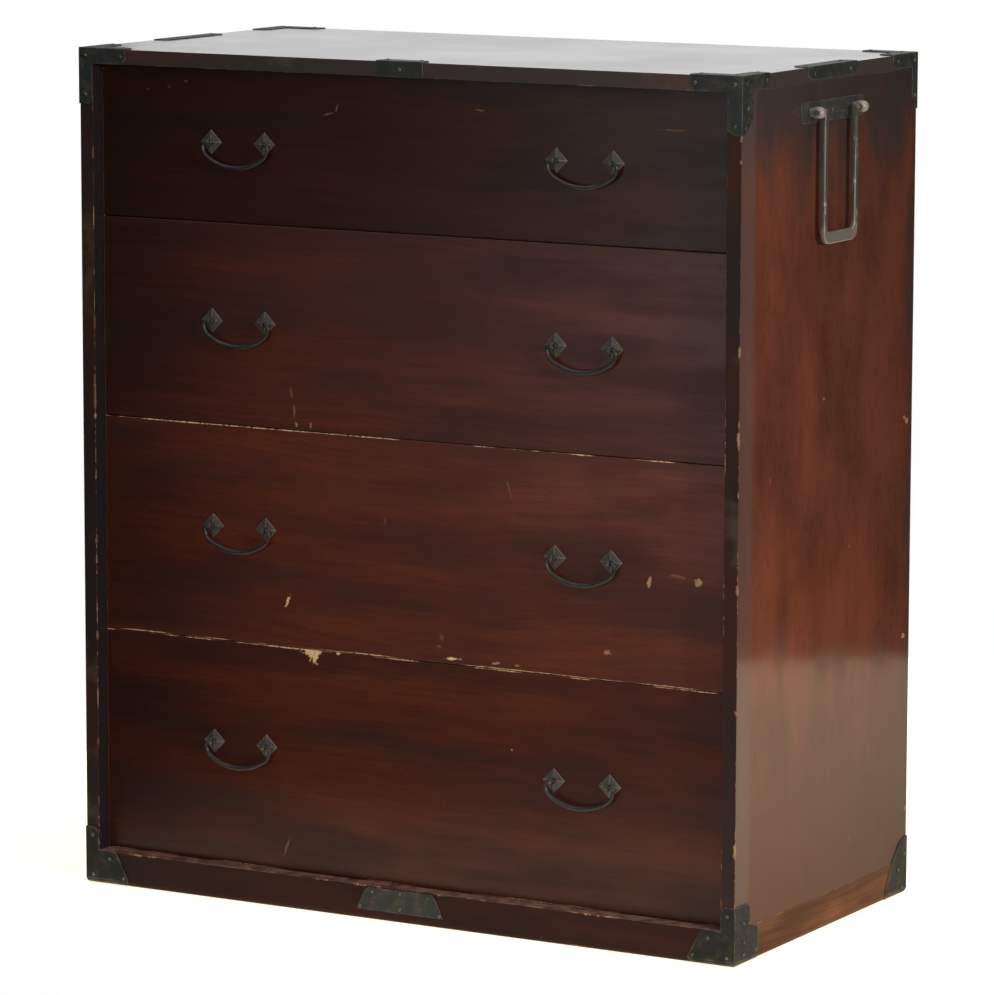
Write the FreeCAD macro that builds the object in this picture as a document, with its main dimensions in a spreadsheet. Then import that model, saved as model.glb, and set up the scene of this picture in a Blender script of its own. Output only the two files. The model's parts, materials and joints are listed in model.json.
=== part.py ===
# Isho clothing chest: a free-standing lacquered case with four full-width drawers.
# Sizes are in millimetres. +Z is up, the drawers face -Y, and the origin is the middle of the
# rectangle that the base stands on.

import FreeCAD
import Part
import Sketcher
import math
import os
import re

Vector = FreeCAD.Vector

# Driving dimensions. Each one is a cell of the sheet, under the same name.
SIZES = {
    # case
    "case_width": 900.0,             # outer width of the boards
    "case_depth": 460.0,             # outer depth of the boards
    "case_height": 1032.0,           # floor to the top face
    "board_thickness": 18.0,         # top and side boards
    "base_height": 42.0,             # height of the base frame
    "base_rail_thickness": 45.0,     # the base frame's four rails
    "front_recess": 20.0,            # drawer fronts stand this far behind the case's front edges
    "bottom_board_thickness": 14.0,  # case bottom, above the base frame
    "back_panel_thickness": 9.0,     # back panel, let in between the sides
    "shelf_rail_height": 16.0,       # rail that hides behind the seam between two drawer fronts
    "shelf_rail_depth": 32.0,
    "dust_board_thickness": 9.0,
    "groove_depth": 6.0,             # grooves in the sides that hold the dust boards
    # drawers, numbered from the top
    "seam_gap": 0.8,                 # between two drawer fronts, and above the top one
    "side_gap": 1.0,                 # between a drawer and the case's side
    "slide_gap": 0.3,                # under a drawer's bottom board
    "front_thickness": 19.0,
    "front_arris": 1.0,              # worn edges of a drawer front
    "front_lap": 8.0,                # the drawer's sides and bottom are let into its front
    "drawer_side_thickness": 12.0,
    "drawer_back_thickness": 11.0,
    "drawer_bottom_thickness": 8.0,
    "drawer_head_room": 8.0,         # over the drawer's sides, under the shelf above
    "drawer_rear_gap": 8.0,          # between a closed drawer and the back panel
    # drawer handles
    "handle_offset": 237.0,          # handle's middle to the chest's middle
    "post_spacing": 75.0,            # between the two eye posts of a handle
    "eye_reach": 7.0,                # pivot axis in front of the drawer front
    "eye_width": 4.0,
    "eye_wall": 1.9,
    "eye_slack": 0.4,                # the bail's end is loose in the eye by this much all round
    "shank_side": 3.4,               # side of the split pin's square shank
    "shank_slack": 0.2,
    "clench_length": 13.0,           # each leg of the split shank, bent flat inside the drawer
    "clench_height": 3.0,
    "clench_thickness": 1.2,
    "rosette_radius": 15.0,          # half the diagonal of the diamond-set plate
    "rosette_rim": 0.9,
    "rosette_crown": 2.3,
    "bail_end_radius": 1.9,
    "bail_middle_radius": 3.2,
    "bail_drop": 30.0,               # pivot axis to the middle of the grip
    "bail_bulge": 8.3,               # the bail swings out past the posts by this much
    "bail_curl_radius": 5.0,
    "bail_tip_length": 2.6,          # knob inside the eye that keeps the bail in
    "bail_tip_radius": 2.7,
    # pole handles on the sides
    "pole_plate_length": 163.0,
    "pole_plate_height": 25.0,
    "pole_plate_thickness": 1.5,
    "pole_plate_cut": 3.0,           # corners of the plate are cut off by this much
    "pole_axis_drop": 52.0,          # top face to the pivot axis
    "pole_post_spacing": 113.0,
    "pole_post_reach": 9.5,          # plate to the middle of the ball
    "pole_ball_radius": 7.0,
    "pole_neck_radius": 4.2,
    "pole_shank_side": 5.4,
    "pole_pin_radius": 3.2,
    "pole_pin_slack": 0.4,
    "pole_pin_end": 1.5,             # the pin passes the ball by this much
    "pole_bail_width": 80.0,         # between the middles of the two legs
    "pole_bail_length": 155.0,       # pivot axis to the lower edge of the crossbar
    "pole_leg_width": 8.5,
    "pole_leg_thickness": 6.5,
    "pole_bar_height": 14.0,
    "pole_corner_radius": 13.0,
    "pole_inner_radius": 5.0,
    "pole_bail_arris": 1.4,          # hammered-off edges of the bar
    # iron fittings
    "iron_thickness": 1.2,
    "top_arm_length": 66.0,          # along the top edge, from the corner
    "top_stile_arm_length": 67.0,    # down the stile, from the corner
    "top_side_arm_length": 67.0,
    "top_side_arm_height": 16.0,
    "top_side_stile_width": 28.0,
    "top_back_stile_width": 14.0,
    "top_lap": 20.0,                 # iron that turns over onto the top face
    "arm_end_cut": 6.0,              # sloped end of each arm
    "base_arm_length": 61.0,
    "base_arm_slope": 18.0,
    "base_stile_arm_height": 71.0,
    "base_side_arm_length": 57.0,
    "base_side_stile_width": 38.0,
    "base_back_arm_length": 58.0,
    "floor_gap": 1.0,                # irons end this far above the floor
    "front_plate_length": 64.0,
    "side_plate_length": 130.0,
    "side_plate_height": 15.0,
    "base_plate_length": 120.0,
    "base_plate_top_length": 88.0,
    "base_plate_height": 28.0,
    "base_plate_rise": 12.0,         # floor to the lower edge of the middle base plate
    # nails
    "nail_radius": 2.7,
    "nail_crown": 1.3,
}

# Facets of what is hammered, and of arcs that are stepped.
BAR_SIDES = 8
BALL_SIDES = 10
NAIL_SIDES = 7
BALL_TURNS = (-30, 0, 35, 65)        # rings of a ball, in degrees from its widest one
CORNER_TURNS = (0, 30, 60, 90)       # corners of a pole bail
CURL_STEPS = 3
SHOULDER_STEPS = 3
GRIP_STEPS = 4

# Shares of a size, chosen by hand.
SHARES = {
    "drawer_2_share": 0.2521,        # of the opening's height; drawer 1 takes what the others leave
    "drawer_3_share": 0.2727,
    "drawer_4_share": 0.284,
    "handle_1_height_share": 0.519,  # height of the posts on the drawer front
    "handle_2_height_share": 0.514,
    "handle_3_height_share": 0.531,
    "handle_4_height_share": 0.545,
    "bail_shoulder_share": 0.64,     # radius of the bail's shoulder, of the drop below the curl
    "nail_face_share": 0.5,          # flat of a hammered nail head, of its radius
}

# Nail places: shares of a fitting's two arms, measured inward from the case's corner.
NAIL_SHARES = {
    "top_front": ((0.90, 0.13), (0.13, 0.13), (0.13, 0.84)),
    "top_side_front": ((0.90, 0.11), (0.16, 0.12), (0.20, 0.55), (0.12, 0.88)),
    "top_side_back": ((0.80, 0.11), (0.12, 0.12), (0.10, 0.75)),
    "top_face": ((0.86, 0.15), (0.20, 0.20), (0.15, 0.86)),
    "base_front": ((0.15, 0.85), (0.56, 0.46), (0.16, 0.15), (0.89, 0.14)),
    "base_side_front": ((0.37, 0.70), (0.60, 0.66), (0.38, 0.37), (0.38, 0.17), (0.92, 0.17)),
    "base_side_back": ((0.12, 0.70), (0.20, 0.12), (0.88, 0.12), (0.40, 0.45)),
}
# Nail places on the middle plates, as shares of the plate's length and height.
SIDE_PLATE_SHARES = ((-0.36, 0.5), (0.36, 0.5))
FRONT_PLATE_SHARES = ((0.0, 0.5),)
LAP_SHARES = ((-0.36, 0.6), (0.36, 0.6))
BASE_PLATE_SHARES = ((-0.32, 0.82), (0.0, 0.86), (0.32, 0.82),
                     (-0.46, 0.13), (0.0, 0.18), (0.46, 0.13))
# Sloped edge of the back base irons, as shares of the arm's length and the upright's height.
BACK_EDGE_SHARES = ((0.95, 0.24), (0.69, 0.61), (0.33, 0.93))

# Places that follow from the driving dimensions.
PLACES = {
    "half_width": "case_width / 2",
    "half_depth": "case_depth / 2",
    "inner_half": "half_width - board_thickness",
    "top_under": "case_height - board_thickness",
    "drawer_face": "front_recess - half_depth",
    "drawer_inside": "drawer_face + front_thickness",
    "back_inside": "half_depth - back_panel_thickness",
    "drawer_rear": "back_inside - drawer_rear_gap",
    "drawer_half": "inner_half - side_gap",
    "drawer_inner_half": "drawer_half - drawer_side_thickness",
    "opening": "top_under - base_height",
    "seam_3": "base_height + drawer_4_share * opening",
    "seam_2": "seam_3 + drawer_3_share * opening",
    "seam_1": "seam_2 + drawer_2_share * opening",
    "half_rail": "shelf_rail_height / 2",
    "low_1": "seam_1",
    "low_2": "seam_2",
    "low_3": "seam_3",
    "low_4": "base_height",
    "high_1": "top_under",
    "high_2": "seam_1",
    "high_3": "seam_2",
    "high_4": "seam_3",
    "floor_1": "seam_1 + half_rail",
    "floor_2": "seam_2 + half_rail",
    "floor_3": "seam_3 + half_rail",
    "floor_4": "base_height + bottom_board_thickness",
    "ceiling_1": "top_under",
    "ceiling_2": "seam_1 - half_rail",
    "ceiling_3": "seam_2 - half_rail",
    "ceiling_4": "seam_3 - half_rail",
    "handle_1_level": "low_1 + handle_1_height_share * (high_1 - low_1)",
    "handle_2_level": "low_2 + handle_2_height_share * (high_2 - low_2)",
    "handle_3_level": "low_3 + handle_3_height_share * (high_3 - low_3)",
    "handle_4_level": "low_4 + handle_4_height_share * (high_4 - low_4)",
    "eye_axis": "drawer_face - eye_reach",
    "eye_bore": "bail_end_radius + eye_slack",
    "eye_outer": "eye_bore + eye_wall",
    "half_posts": "post_spacing / 2",
    "half_shank": "shank_side / 2",
    "half_hole": "half_shank + shank_slack",
    "half_pole_shank": "pole_shank_side / 2",
    "half_pole_hole": "half_pole_shank + shank_slack",
    "pole_level": "case_height - pole_axis_drop",
    "pole_plate_face": "half_width + pole_plate_thickness",
    "pole_axis": "pole_plate_face + pole_post_reach",
    "half_pole_posts": "pole_post_spacing / 2",
    "iron_side": "half_width + iron_thickness",
    "iron_front": "half_depth + iron_thickness",
    "iron_top": "case_height + iron_thickness",
}

doc = FreeCAD.newDocument("isho_chest")
sheet = doc.addObject("Spreadsheet::Sheet", "sizes")
for row, (alias, number) in enumerate({**SIZES, **SHARES}.items(), start=1):
    sheet.set(f"A{row}", alias)
    sheet.set(f"B{row}", str(number))
    sheet.setAlias(f"B{row}", alias)
doc.recompute()


def formula(text):
    """Turn words of the tables above into references to the sheet's cells."""
    def swap(match):
        word = match.group(0)
        if word in SIZES or word in SHARES:
            return f"sizes.{word}"
        if word in PLACES:
            return f"({formula(PLACES[word])})"
        return word
    return re.sub(r"[a-z_][a-z_0-9]*", swap, text)


def measure(text):
    """The number, in millimetres, that a formula gives."""
    return float(sheet.evalExpression(formula(text)))


def bind(thing, **formulas):
    """Bind properties to formulas; two underscores in a name stand for a dot."""
    for path, text in formulas.items():
        thing.setExpression(path.replace("__", "."), formula(text))
    return thing


def place(thing, x="0", y="0", z="0"):
    return bind(thing, Placement__Base__x=x, Placement__Base__y=y, Placement__Base__z=z)


def turn(thing, axis, angle):
    thing.Placement.Rotation = FreeCAD.Rotation(axis, angle)
    return thing


def box(name, x, y, z):
    """A box between pairs of formulas, one pair for each axis."""
    made = doc.addObject("Part::Box", name)
    bind(made, Length=f"({x[1]}) - ({x[0]})", Width=f"({y[1]}) - ({y[0]})",
         Height=f"({z[1]}) - ({z[0]})")
    return place(made, x[0], y[0], z[0])


def rod(name, axis, radius, span, across):
    """A round rod along an axis: span is its two ends, across its place on the other two axes."""
    made = doc.addObject("Part::Cylinder", name)
    bind(made, Radius=radius, Height=f"({span[1]}) - ({span[0]})")
    if axis == "X":
        turn(made, Vector(0, 1, 0), 90)
        return place(made, span[0], across[0], across[1])
    if axis == "Y":
        turn(made, Vector(1, 0, 0), -90)
        return place(made, across[0], span[0], across[1])
    return place(made, across[0], across[1], span[0])


def fuse(name, shapes):
    made = doc.addObject("Part::MultiFuse", name)
    made.Shapes = shapes
    return made


def cut(name, base, tool):
    made = doc.addObject("Part::Cut", name)
    made.Base = base
    made.Tool = tool
    return made


def mirror(name, source, normal, x="0"):
    """The mirror image of a piece in a plane at x."""
    made = doc.addObject("Part::Mirroring", name)
    made.Source = source
    made.Normal = normal
    return bind(made, Base__x=x)


def group(name, pieces):
    made = doc.addObject("Part::Compound", name)
    made.Links = pieces
    return made


nodes = []


def keep(thing, name):
    """Name a finished sub-part; its label is also its file's name."""
    thing.Label = name
    nodes.append(thing)
    return thing


# Outlines drawn as sketches

def plane_of(body, role):
    for feature in body.Origin.OriginFeatures:
        if feature.Role == role:
            return feature
    raise ValueError(role)


def draw(body, name, role, offset, corners):
    """A closed outline on one of the body's planes, its corners held at pairs of formulas."""
    sketch = body.newObject("Sketcher::SketchObject", name)
    sketch.AttachmentSupport = (plane_of(body, role), [""])
    sketch.MapMode = "FlatFace"
    bind(sketch, AttachmentOffset__Base__z=offset)
    spots = [Vector(measure(x), measure(y), 0) for x, y in corners]
    for start, end in zip(spots, spots[1:] + spots[:1]):
        sketch.addGeometry(Part.LineSegment(start, end))
    for count in range(len(spots)):
        follower = (count + 1) % len(spots)
        sketch.addConstraint(Sketcher.Constraint("Coincident", count, 2, follower, 1))
    for count, (spot, pair) in enumerate(zip(spots, corners)):
        for kind, value, text in (("DistanceX", spot.x, pair[0]), ("DistanceY", spot.y, pair[1])):
            if value == 0:
                axis_line = -2 if kind == "DistanceX" else -1
                sketch.addConstraint(Sketcher.Constraint("PointOnObject", count, 1, axis_line))
            else:
                rule = sketch.addConstraint(Sketcher.Constraint(kind, -1, 1, count, 1, value))
                sketch.setExpression(f"Constraints[{rule}]", formula(text))
    return sketch


def pad(body, name, sketch, length):
    made = body.newObject("PartDesign::Pad", name)
    made.Profile = sketch
    bind(made, Length=length)
    sketch.Visibility = False
    return made


def edges_where(shape, test):
    """The names of the edges whose middle passes a test."""
    return [f"Edge{count}" for count, edge in enumerate(shape.Edges, start=1)
            if test(edge.CenterOfMass)]


# Nails: hammered heads on the irons

NORMALS = {"front": Vector(0, -1, 0), "back": Vector(0, 1, 0), "side": Vector(1, 0, 0),
           "top": Vector(0, 0, 1)}


def nail_spot(face, across, up, out="iron_thickness"):
    """Where a nail's head sits: a face of the case, two formulas along it and one off it."""
    first, second, off = measure(across), measure(up), measure(out)
    if face == "side":
        return face, Vector(measure("half_width") + off, first, second)
    if face == "top":
        return face, Vector(first, second, measure("case_height") + off)
    sign = -1 if face == "front" else 1
    return face, Vector(first, sign * (measure("half_depth") + off), second)


def corner_nails(face, table, corner, arms):
    """The nails of one face of a corner iron: shares of its two arms, inward from the corner."""
    spots = []
    for along, up in NAIL_SHARES[table]:
        spots.append(nail_spot(face, f"{corner[0]} {arms[0]} * {along}",
                               f"{corner[1]} {arms[1]} * {up}"))
    return spots


def side_nail_spots():
    """Every nail of the right-hand half of the case."""
    spots = []
    for face, y_corner in (("front", "- half_depth +"), ("back", "half_depth -")):
        end = face
        spots += corner_nails(face, "top_front", ("half_width -", "case_height -"),
                              ("top_arm_length", "top_stile_arm_length"))
        spots += corner_nails(face, "base_front", ("half_width -", ""),
                              ("base_arm_length", "base_stile_arm_height"))
        spots += corner_nails("side", f"top_side_{end}", (y_corner, "case_height -"),
                              ("top_side_arm_length", "top_stile_arm_length"))
        base_arm = "base_side_arm_length" if face == "front" else "base_back_arm_length"
        spots += corner_nails("side", f"base_side_{end}", (y_corner, ""),
                              (base_arm, "base_stile_arm_height"))
        spots += corner_nails("top", "top_face", ("half_width -", y_corner),
                              ("top_arm_length", "top_side_arm_length"))
    for along, up in SIDE_PLATE_SHARES:
        spots.append(nail_spot("side", f"side_plate_length * {along}",
                               f"case_height - side_plate_height * {up}"))
    for along, up in LAP_SHARES:
        spots.append(nail_spot("top", f"half_width - top_lap * {up}", f"side_plate_length * {along}"))
    spots.append(nail_spot("side", "0", "pole_level", "pole_plate_thickness"))
    return spots


def middle_nail_spots():
    """The nails of the front's middle plates."""
    spots = []
    for along, up in FRONT_PLATE_SHARES:
        spots.append(nail_spot("front", f"front_plate_length * {along}",
                               f"case_height - board_thickness * {up}"))
    for along, up in LAP_SHARES:
        spots.append(nail_spot("top", f"front_plate_length * {along}", f"top_lap * {up} - half_depth"))
    for along, up in BASE_PLATE_SHARES:
        spots.append(nail_spot("front", f"base_plate_length * {along}",
                               f"base_plate_rise + base_plate_height * {up}"))
    return spots


def head_ring(radius, height):
    corners = []
    for count in range(NAIL_SIDES):
        angle = 2 * math.pi * count / NAIL_SIDES
        corners.append(Vector(radius * math.cos(angle), radius * math.sin(angle), height))
    return Part.makePolygon(corners + corners[:1])


def nail_head():
    radius = measure("nail_radius")
    flat = radius * measure("nail_face_share")
    return Part.makeLoft([head_ring(radius, 0), head_ring(flat, measure("nail_crown"))], True, True)


def driven(name, spots):
    """A nail head at each of a list of spots."""
    head = nail_head()
    heads = []
    for face, spot in spots:
        one = head.copy()
        one.Placement = FreeCAD.Placement(spot, FreeCAD.Rotation(Vector(0, 0, 1), NORMALS[face]))
        heads.append(one)
    made = doc.addObject("Part::Feature", name)
    made.Shape = Part.Compound(heads)
    return made


def make_nails():
    side = driven("side_nails", side_nail_spots())
    far = mirror("far_side_nails", side, Vector(1, 0, 0))
    keep(group("nails", [side, far, driven("middle_nails", middle_nail_spots())]), "iron_nails")


# Case boards

def make_case():
    keep(box("top", ("-half_width", "half_width"), ("-half_depth", "half_depth"),
             ("top_under", "case_height")), "top_board")
    keep(box("case_bottom", ("-inner_half", "inner_half"),
             ("drawer_inside", "back_inside"),
             ("base_height", "base_height + bottom_board_thickness")), "bottom_board")
    keep(box("back", ("-inner_half", "inner_half"), ("back_inside", "half_depth"),
             ("base_height", "top_under")), "back_panel")

    board = box("side_blank", ("inner_half", "half_width"), ("-half_depth", "half_depth"),
                ("base_height", "top_under"))
    hollows = []
    for number in (1, 2, 3):
        hollows.append(box(f"groove_{number}", ("inner_half", "inner_half + groove_depth"),
                           ("drawer_inside", "back_inside"),
                           (f"floor_{number} - dust_board_thickness", f"floor_{number}")))
    hollows += pole_holes("side", "inner_half", "half_width")
    right = cut("right_side", board, fuse("side_hollows", hollows))
    keep(right, "right_side_board")
    keep(mirror("left_side", right, Vector(1, 0, 0)), "left_side_board")


def pole_holes(name, near, far):
    """Square holes for the two posts of a pole handle."""
    holes = []
    for end, middle in (("front", "-half_pole_posts"), ("rear", "half_pole_posts")):
        holes.append(box(f"{name}_{end}_hole", (near, far),
                         (f"{middle} - half_pole_hole", f"{middle} + half_pole_hole"),
                         ("pole_level - half_pole_hole", "pole_level + half_pole_hole")))
    return holes


def make_shelves():
    for number in (1, 2, 3):
        top = f"floor_{number}"
        keep(box(f"rail_{number}", ("-inner_half", "inner_half"),
                 ("drawer_inside", "drawer_inside + shelf_rail_depth"),
                 (f"{top} - shelf_rail_height", top)), f"shelf_rail_{number}")
        tongue = box(f"dust_{number}", ("-inner_half - groove_depth", "inner_half + groove_depth"),
                     ("drawer_inside", "back_inside"), (f"{top} - dust_board_thickness", top))
        notch = box(f"dust_notch_{number}", ("-inner_half", "inner_half"),
                    ("drawer_inside", "drawer_inside + shelf_rail_depth"),
                    (f"{top} - dust_board_thickness", top))
        keep(cut(f"dust_cut_{number}", tongue, notch), f"dust_board_{number}")


def make_base():
    inner = "base_rail_thickness - half_depth"
    rear = "half_depth - base_rail_thickness"
    high = ("0", "base_height")
    wide = ("-half_width", "half_width")
    keep(box("base_front", wide, ("-half_depth", inner), high), "base_front_rail")
    keep(box("base_back", wide, (rear, "half_depth"), high), "base_back_rail")
    right = box("base_right", ("half_width - base_rail_thickness", "half_width"), (inner, rear), high)
    keep(group("base_sides", [right, mirror("base_left", right, Vector(1, 0, 0))]), "base_side_rails")


# Drawers

def front_board(number, under, box_floor, box_top):
    """A drawer front: worn edges in front, rebates for the box behind, four square holes."""
    name = f"drawer_{number}"
    low = f"low_{number} + seam_gap / 2"
    high = f"high_{number} - seam_gap / 2"
    body = doc.addObject("PartDesign::Body", f"{name}_board")
    outline = draw(body, f"{name}_outline", "XZ_Plane", "-drawer_inside", [
        ("-drawer_half", low), ("drawer_half", low), ("drawer_half", high), ("-drawer_half", high)])
    blank = pad(body, f"{name}_blank", outline, "front_thickness")
    doc.recompute()
    face_edges = edges_where(blank.Shape, lambda spot: spot.y < measure("drawer_face") + 1e-3)
    worn = body.newObject("PartDesign::Chamfer", f"{name}_arris")
    worn.Base = (blank, face_edges)
    bind(worn, Size="front_arris")

    hollows = []
    lap = ("drawer_inside - front_lap", "drawer_inside")
    hollows.append(box(f"{name}_bottom_groove", ("-drawer_half", "drawer_half"), lap, (under, box_floor)))
    for side, span in (("left", ("-drawer_half", "-drawer_inner_half")),
                       ("right", ("drawer_inner_half", "drawer_half"))):
        hollows.append(box(f"{name}_{side}_rebate", span, lap, (box_floor, box_top)))
    level = f"handle_{number}_level"
    for side in ("-", ""):
        for half in ("-", "+"):
            middle = f"{side}handle_offset {half} half_posts"
            hollows.append(box(f"{name}_post_hole", (f"{middle} - half_hole", f"{middle} + half_hole"),
                               ("drawer_face", "drawer_inside"),
                               (f"{level} - half_hole", f"{level} + half_hole")))
    return cut(f"{name}_front_cut", body, fuse(f"{name}_front_hollows", hollows))


def make_drawer(number):
    name = f"drawer_{number}"
    under = f"floor_{number} + slide_gap"
    box_floor = f"{under} + drawer_bottom_thickness"
    box_top = f"ceiling_{number} - drawer_head_room"
    third = f"(({box_top}) - ({box_floor})) / 3"
    tongue = (f"{box_floor} + {third}", f"{box_top} - {third}")
    rear = ("drawer_rear - drawer_back_thickness", "drawer_rear")
    start = "drawer_inside - front_lap"
    keep(front_board(number, under, box_floor, box_top), f"{name}_front")

    blank = box(f"{name}_side_blank", ("drawer_inner_half", "drawer_half"), (start, "drawer_rear"),
                (box_floor, box_top))
    slot = box(f"{name}_side_slot", ("drawer_inner_half", "drawer_half"), rear, tongue)
    right = cut(f"{name}_side_board", blank, slot)
    keep(right, f"{name}_right_side")
    keep(mirror(f"{name}_side_mirror", right, Vector(1, 0, 0)), f"{name}_left_side")

    panel = box(f"{name}_back_panel", ("-drawer_inner_half", "drawer_inner_half"), rear,
                (box_floor, box_top))
    tongues = box(f"{name}_back_tongues", ("-drawer_half", "drawer_half"), rear, tongue)
    keep(fuse(f"{name}_back_board", [panel, tongues]), f"{name}_back")
    keep(box(f"{name}_bottom_board", ("-drawer_half", "drawer_half"), (start, "drawer_rear"),
             (under, box_floor)), f"{name}_bottom")


# Drawer handles: two diamond rosettes, two eye posts and a forged bail each

def four_of(name, piece):
    """A piece of the right-hand handle's outer post, repeated at all four posts of a drawer."""
    inner = mirror(f"{name}_inner", piece, Vector(1, 0, 0), "handle_offset")
    pair = group(f"{name}_pair", [piece, inner])
    return group(f"{name}_set", [pair, mirror(f"{name}_far_pair", pair, Vector(1, 0, 0))])


def rosette():
    """A square plate set on its corner, with a thin rim and a low hammered crown."""
    flat = "rosette_radius / sqrt(2)"
    rim = frustum("rosette_plate", flat, flat, "-rosette_rim", "0")
    crown = frustum("rosette_crown", "eye_outer / sqrt(2)", flat, "-rosette_crown", "-rosette_rim")
    middle = "handle_offset + half_posts"
    hole = box("rosette_hole", (f"{middle} - half_hole", f"{middle} + half_hole"),
               ("drawer_face - rosette_crown", "drawer_face"), ("-half_hole", "half_hole"))
    return cut("rosette", fuse("rosette_blank", [rim, crown]), hole)


def frustum(name, front, behind, near, far):
    """A square block set on its corner: half its side in front and behind, and its two ends in Y."""
    made = doc.addObject("Part::Wedge", name)
    bind(made, Xmin=f"-({front})", Xmax=front, Zmin=f"-({front})", Zmax=front,
         X2min=f"-({behind})", X2max=behind, Z2min=f"-({behind})", Z2max=behind,
         Ymin=near, Ymax=far)
    turn(made, Vector(0, 1, 0), 45)
    return place(made, "handle_offset + half_posts", "drawer_face", "0")


def eye_post():
    """A split pin: its eye holds the bail, its legs are bent flat inside the drawer."""
    across = "handle_offset + half_posts"
    eye = doc.addObject("Part::Prism", "eye_ring")
    eye.Polygon = BAR_SIDES
    bind(eye, Circumradius="eye_outer", Height="eye_width")
    turn(eye, Vector(0, 1, 0), 90)
    place(eye, f"{across} - eye_width / 2", "eye_axis", "0")
    shank = box("eye_shank", (f"{across} - half_shank", f"{across} + half_shank"),
                ("eye_axis", "drawer_inside"), ("-half_shank", "half_shank"))
    legs = box("eye_legs", (f"{across} - clench_length", f"{across} + clench_length"),
               ("drawer_inside", "drawer_inside + clench_thickness"),
               ("-clench_height / 2", "clench_height / 2"))
    bore = rod("eye_bore", "X", "eye_bore", (f"{across} - eye_width", f"{across} + eye_width"),
               ("eye_axis", "0"))
    return cut("eye_post", fuse("eye_blank", [eye, shank, legs]), bore)


def arc_steps(middle, radius, start, end, count):
    """Points and headings along an arc in the XZ plane, with its first point left out."""
    steps = []
    for step in range(1, count + 1):
        angle = start + (end - start) * step / count
        spot = Vector(middle.x + radius * math.cos(angle), 0, middle.z + radius * math.sin(angle))
        steps.append((spot, Vector(math.sin(angle), 0, -math.cos(angle))))
    return steps


def bail_path():
    """The right half of a drawer bail, from its tip through the eye to the middle of the grip."""
    reach = measure("half_posts + bail_bulge")
    curl = measure("bail_curl_radius")
    drop = measure("bail_drop")
    below = drop - curl
    shoulder = below * measure("bail_shoulder_share")
    run = reach - shoulder
    grip = (run ** 2 + below ** 2 - shoulder ** 2) / (2 * (below - shoulder))
    grip_middle = Vector(0, 0, grip - drop)
    shoulder_middle = Vector(run, 0, -curl)
    lean = math.atan2(shoulder_middle.z - grip_middle.z, shoulder_middle.x)

    outward = Vector(1, 0, 0)
    inner_face = measure("half_posts - eye_width / 2 - eye_slack")
    tip = inner_face - measure("bail_tip_length")
    path = [(Vector(tip, 0, 0), outward), (Vector(inner_face, 0, 0), outward),
            (Vector(reach - curl, 0, 0), outward)]
    path += arc_steps(Vector(reach - curl, 0, -curl), curl, math.pi / 2, 0, CURL_STEPS)
    path += arc_steps(shoulder_middle, shoulder, 0, lean, SHOULDER_STEPS)
    path += arc_steps(grip_middle, grip, lean, -math.pi / 2, GRIP_STEPS)
    return path


def forged_ring(spot, heading, radius):
    """The corners of a hammered bar's section, square to the bar's heading."""
    side = Vector(0, 1, 0).cross(heading)
    corners = []
    for count in range(BAR_SIDES):
        angle = 2 * math.pi * (count + 0.5) / BAR_SIDES
        corners.append(spot + side * (radius * math.cos(angle))
                       + Vector(0, radius * math.sin(angle), 0))
    return corners


def hammered(rings):
    """A solid with flat facets from ring to ring; a facet that would warp is folded in two."""
    faces = []
    for near, far in zip(rings, rings[1:]):
        for count in range(len(near)):
            after = (count + 1) % len(near)
            corners = [near[count], near[after], far[after], far[count]]
            faces += flat_faces(corners)
    for ring in (rings[0], rings[-1]):
        faces.append(Part.Face(Part.makePolygon(ring + ring[:1])))
    solid = Part.makeSolid(Part.makeShell(faces))
    if solid.Volume < 0:
        solid.reverse()
    return solid


def flat_faces(corners):
    a, b, c, d = corners
    off_plane = abs((b - a).cross(c - a).normalize().dot(d - a))
    if off_plane < 1e-6:
        return [Part.Face(Part.makePolygon([a, b, c, d, a]))]
    return [Part.Face(Part.makePolygon(three)) for three in ([a, b, c, a], [a, c, d, a])]


def forged_bail():
    """The bail: thin where it turns in the eyes, thick in the grip, knobbed at its two tips."""
    path = bail_path()
    thin = measure("bail_end_radius")
    thick = measure("bail_middle_radius")
    lengths = [0.0]
    for before, after in zip(path, path[1:]):
        lengths.append(lengths[-1] + before[0].distanceToPoint(after[0]))
    start = lengths[2]
    half = []
    for (spot, heading), length in zip(path, lengths):
        share = max(0.0, (length - start) / (lengths[-1] - start))
        half.append((spot, heading, thin + (thick - thin) * math.sin(share * math.pi / 2)))
    knob = measure("bail_tip_radius")
    tip, outward, _ = half[0]
    length = measure("bail_tip_length")
    half[0:1] = [(tip, outward, knob / 2), (tip + outward * (length / 3), outward, knob),
                 (tip + outward * (2 * length / 3), outward, knob)]
    far = [(Vector(-spot.x, 0, spot.z), Vector(heading.x, 0, -heading.z), radius)
           for spot, heading, radius in half[-2::-1]]
    return hammered([forged_ring(*step) for step in half + far])


def make_handles():
    rosettes = four_of("rosette", rosette())
    posts = four_of("eye_post", eye_post())
    bail = doc.addObject("Part::Feature", "forged_bail")
    bail.Shape = forged_bail()
    for number in (1, 2, 3, 4):
        level = f"handle_{number}_level"
        keep(place(group(f"rosettes_{number}", [rosettes]), z=level), f"drawer_{number}_rosettes")
        keep(place(group(f"posts_{number}", [posts]), z=level), f"drawer_{number}_eye_posts")
        for side, sign in (("left", "-"), ("right", "")):
            hung = group(f"bail_{number}_{side}", [bail])
            keep(place(hung, f"{sign}handle_offset", "eye_axis", level),
                 f"drawer_{number}_{side}_bail")


# Iron fittings

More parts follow.
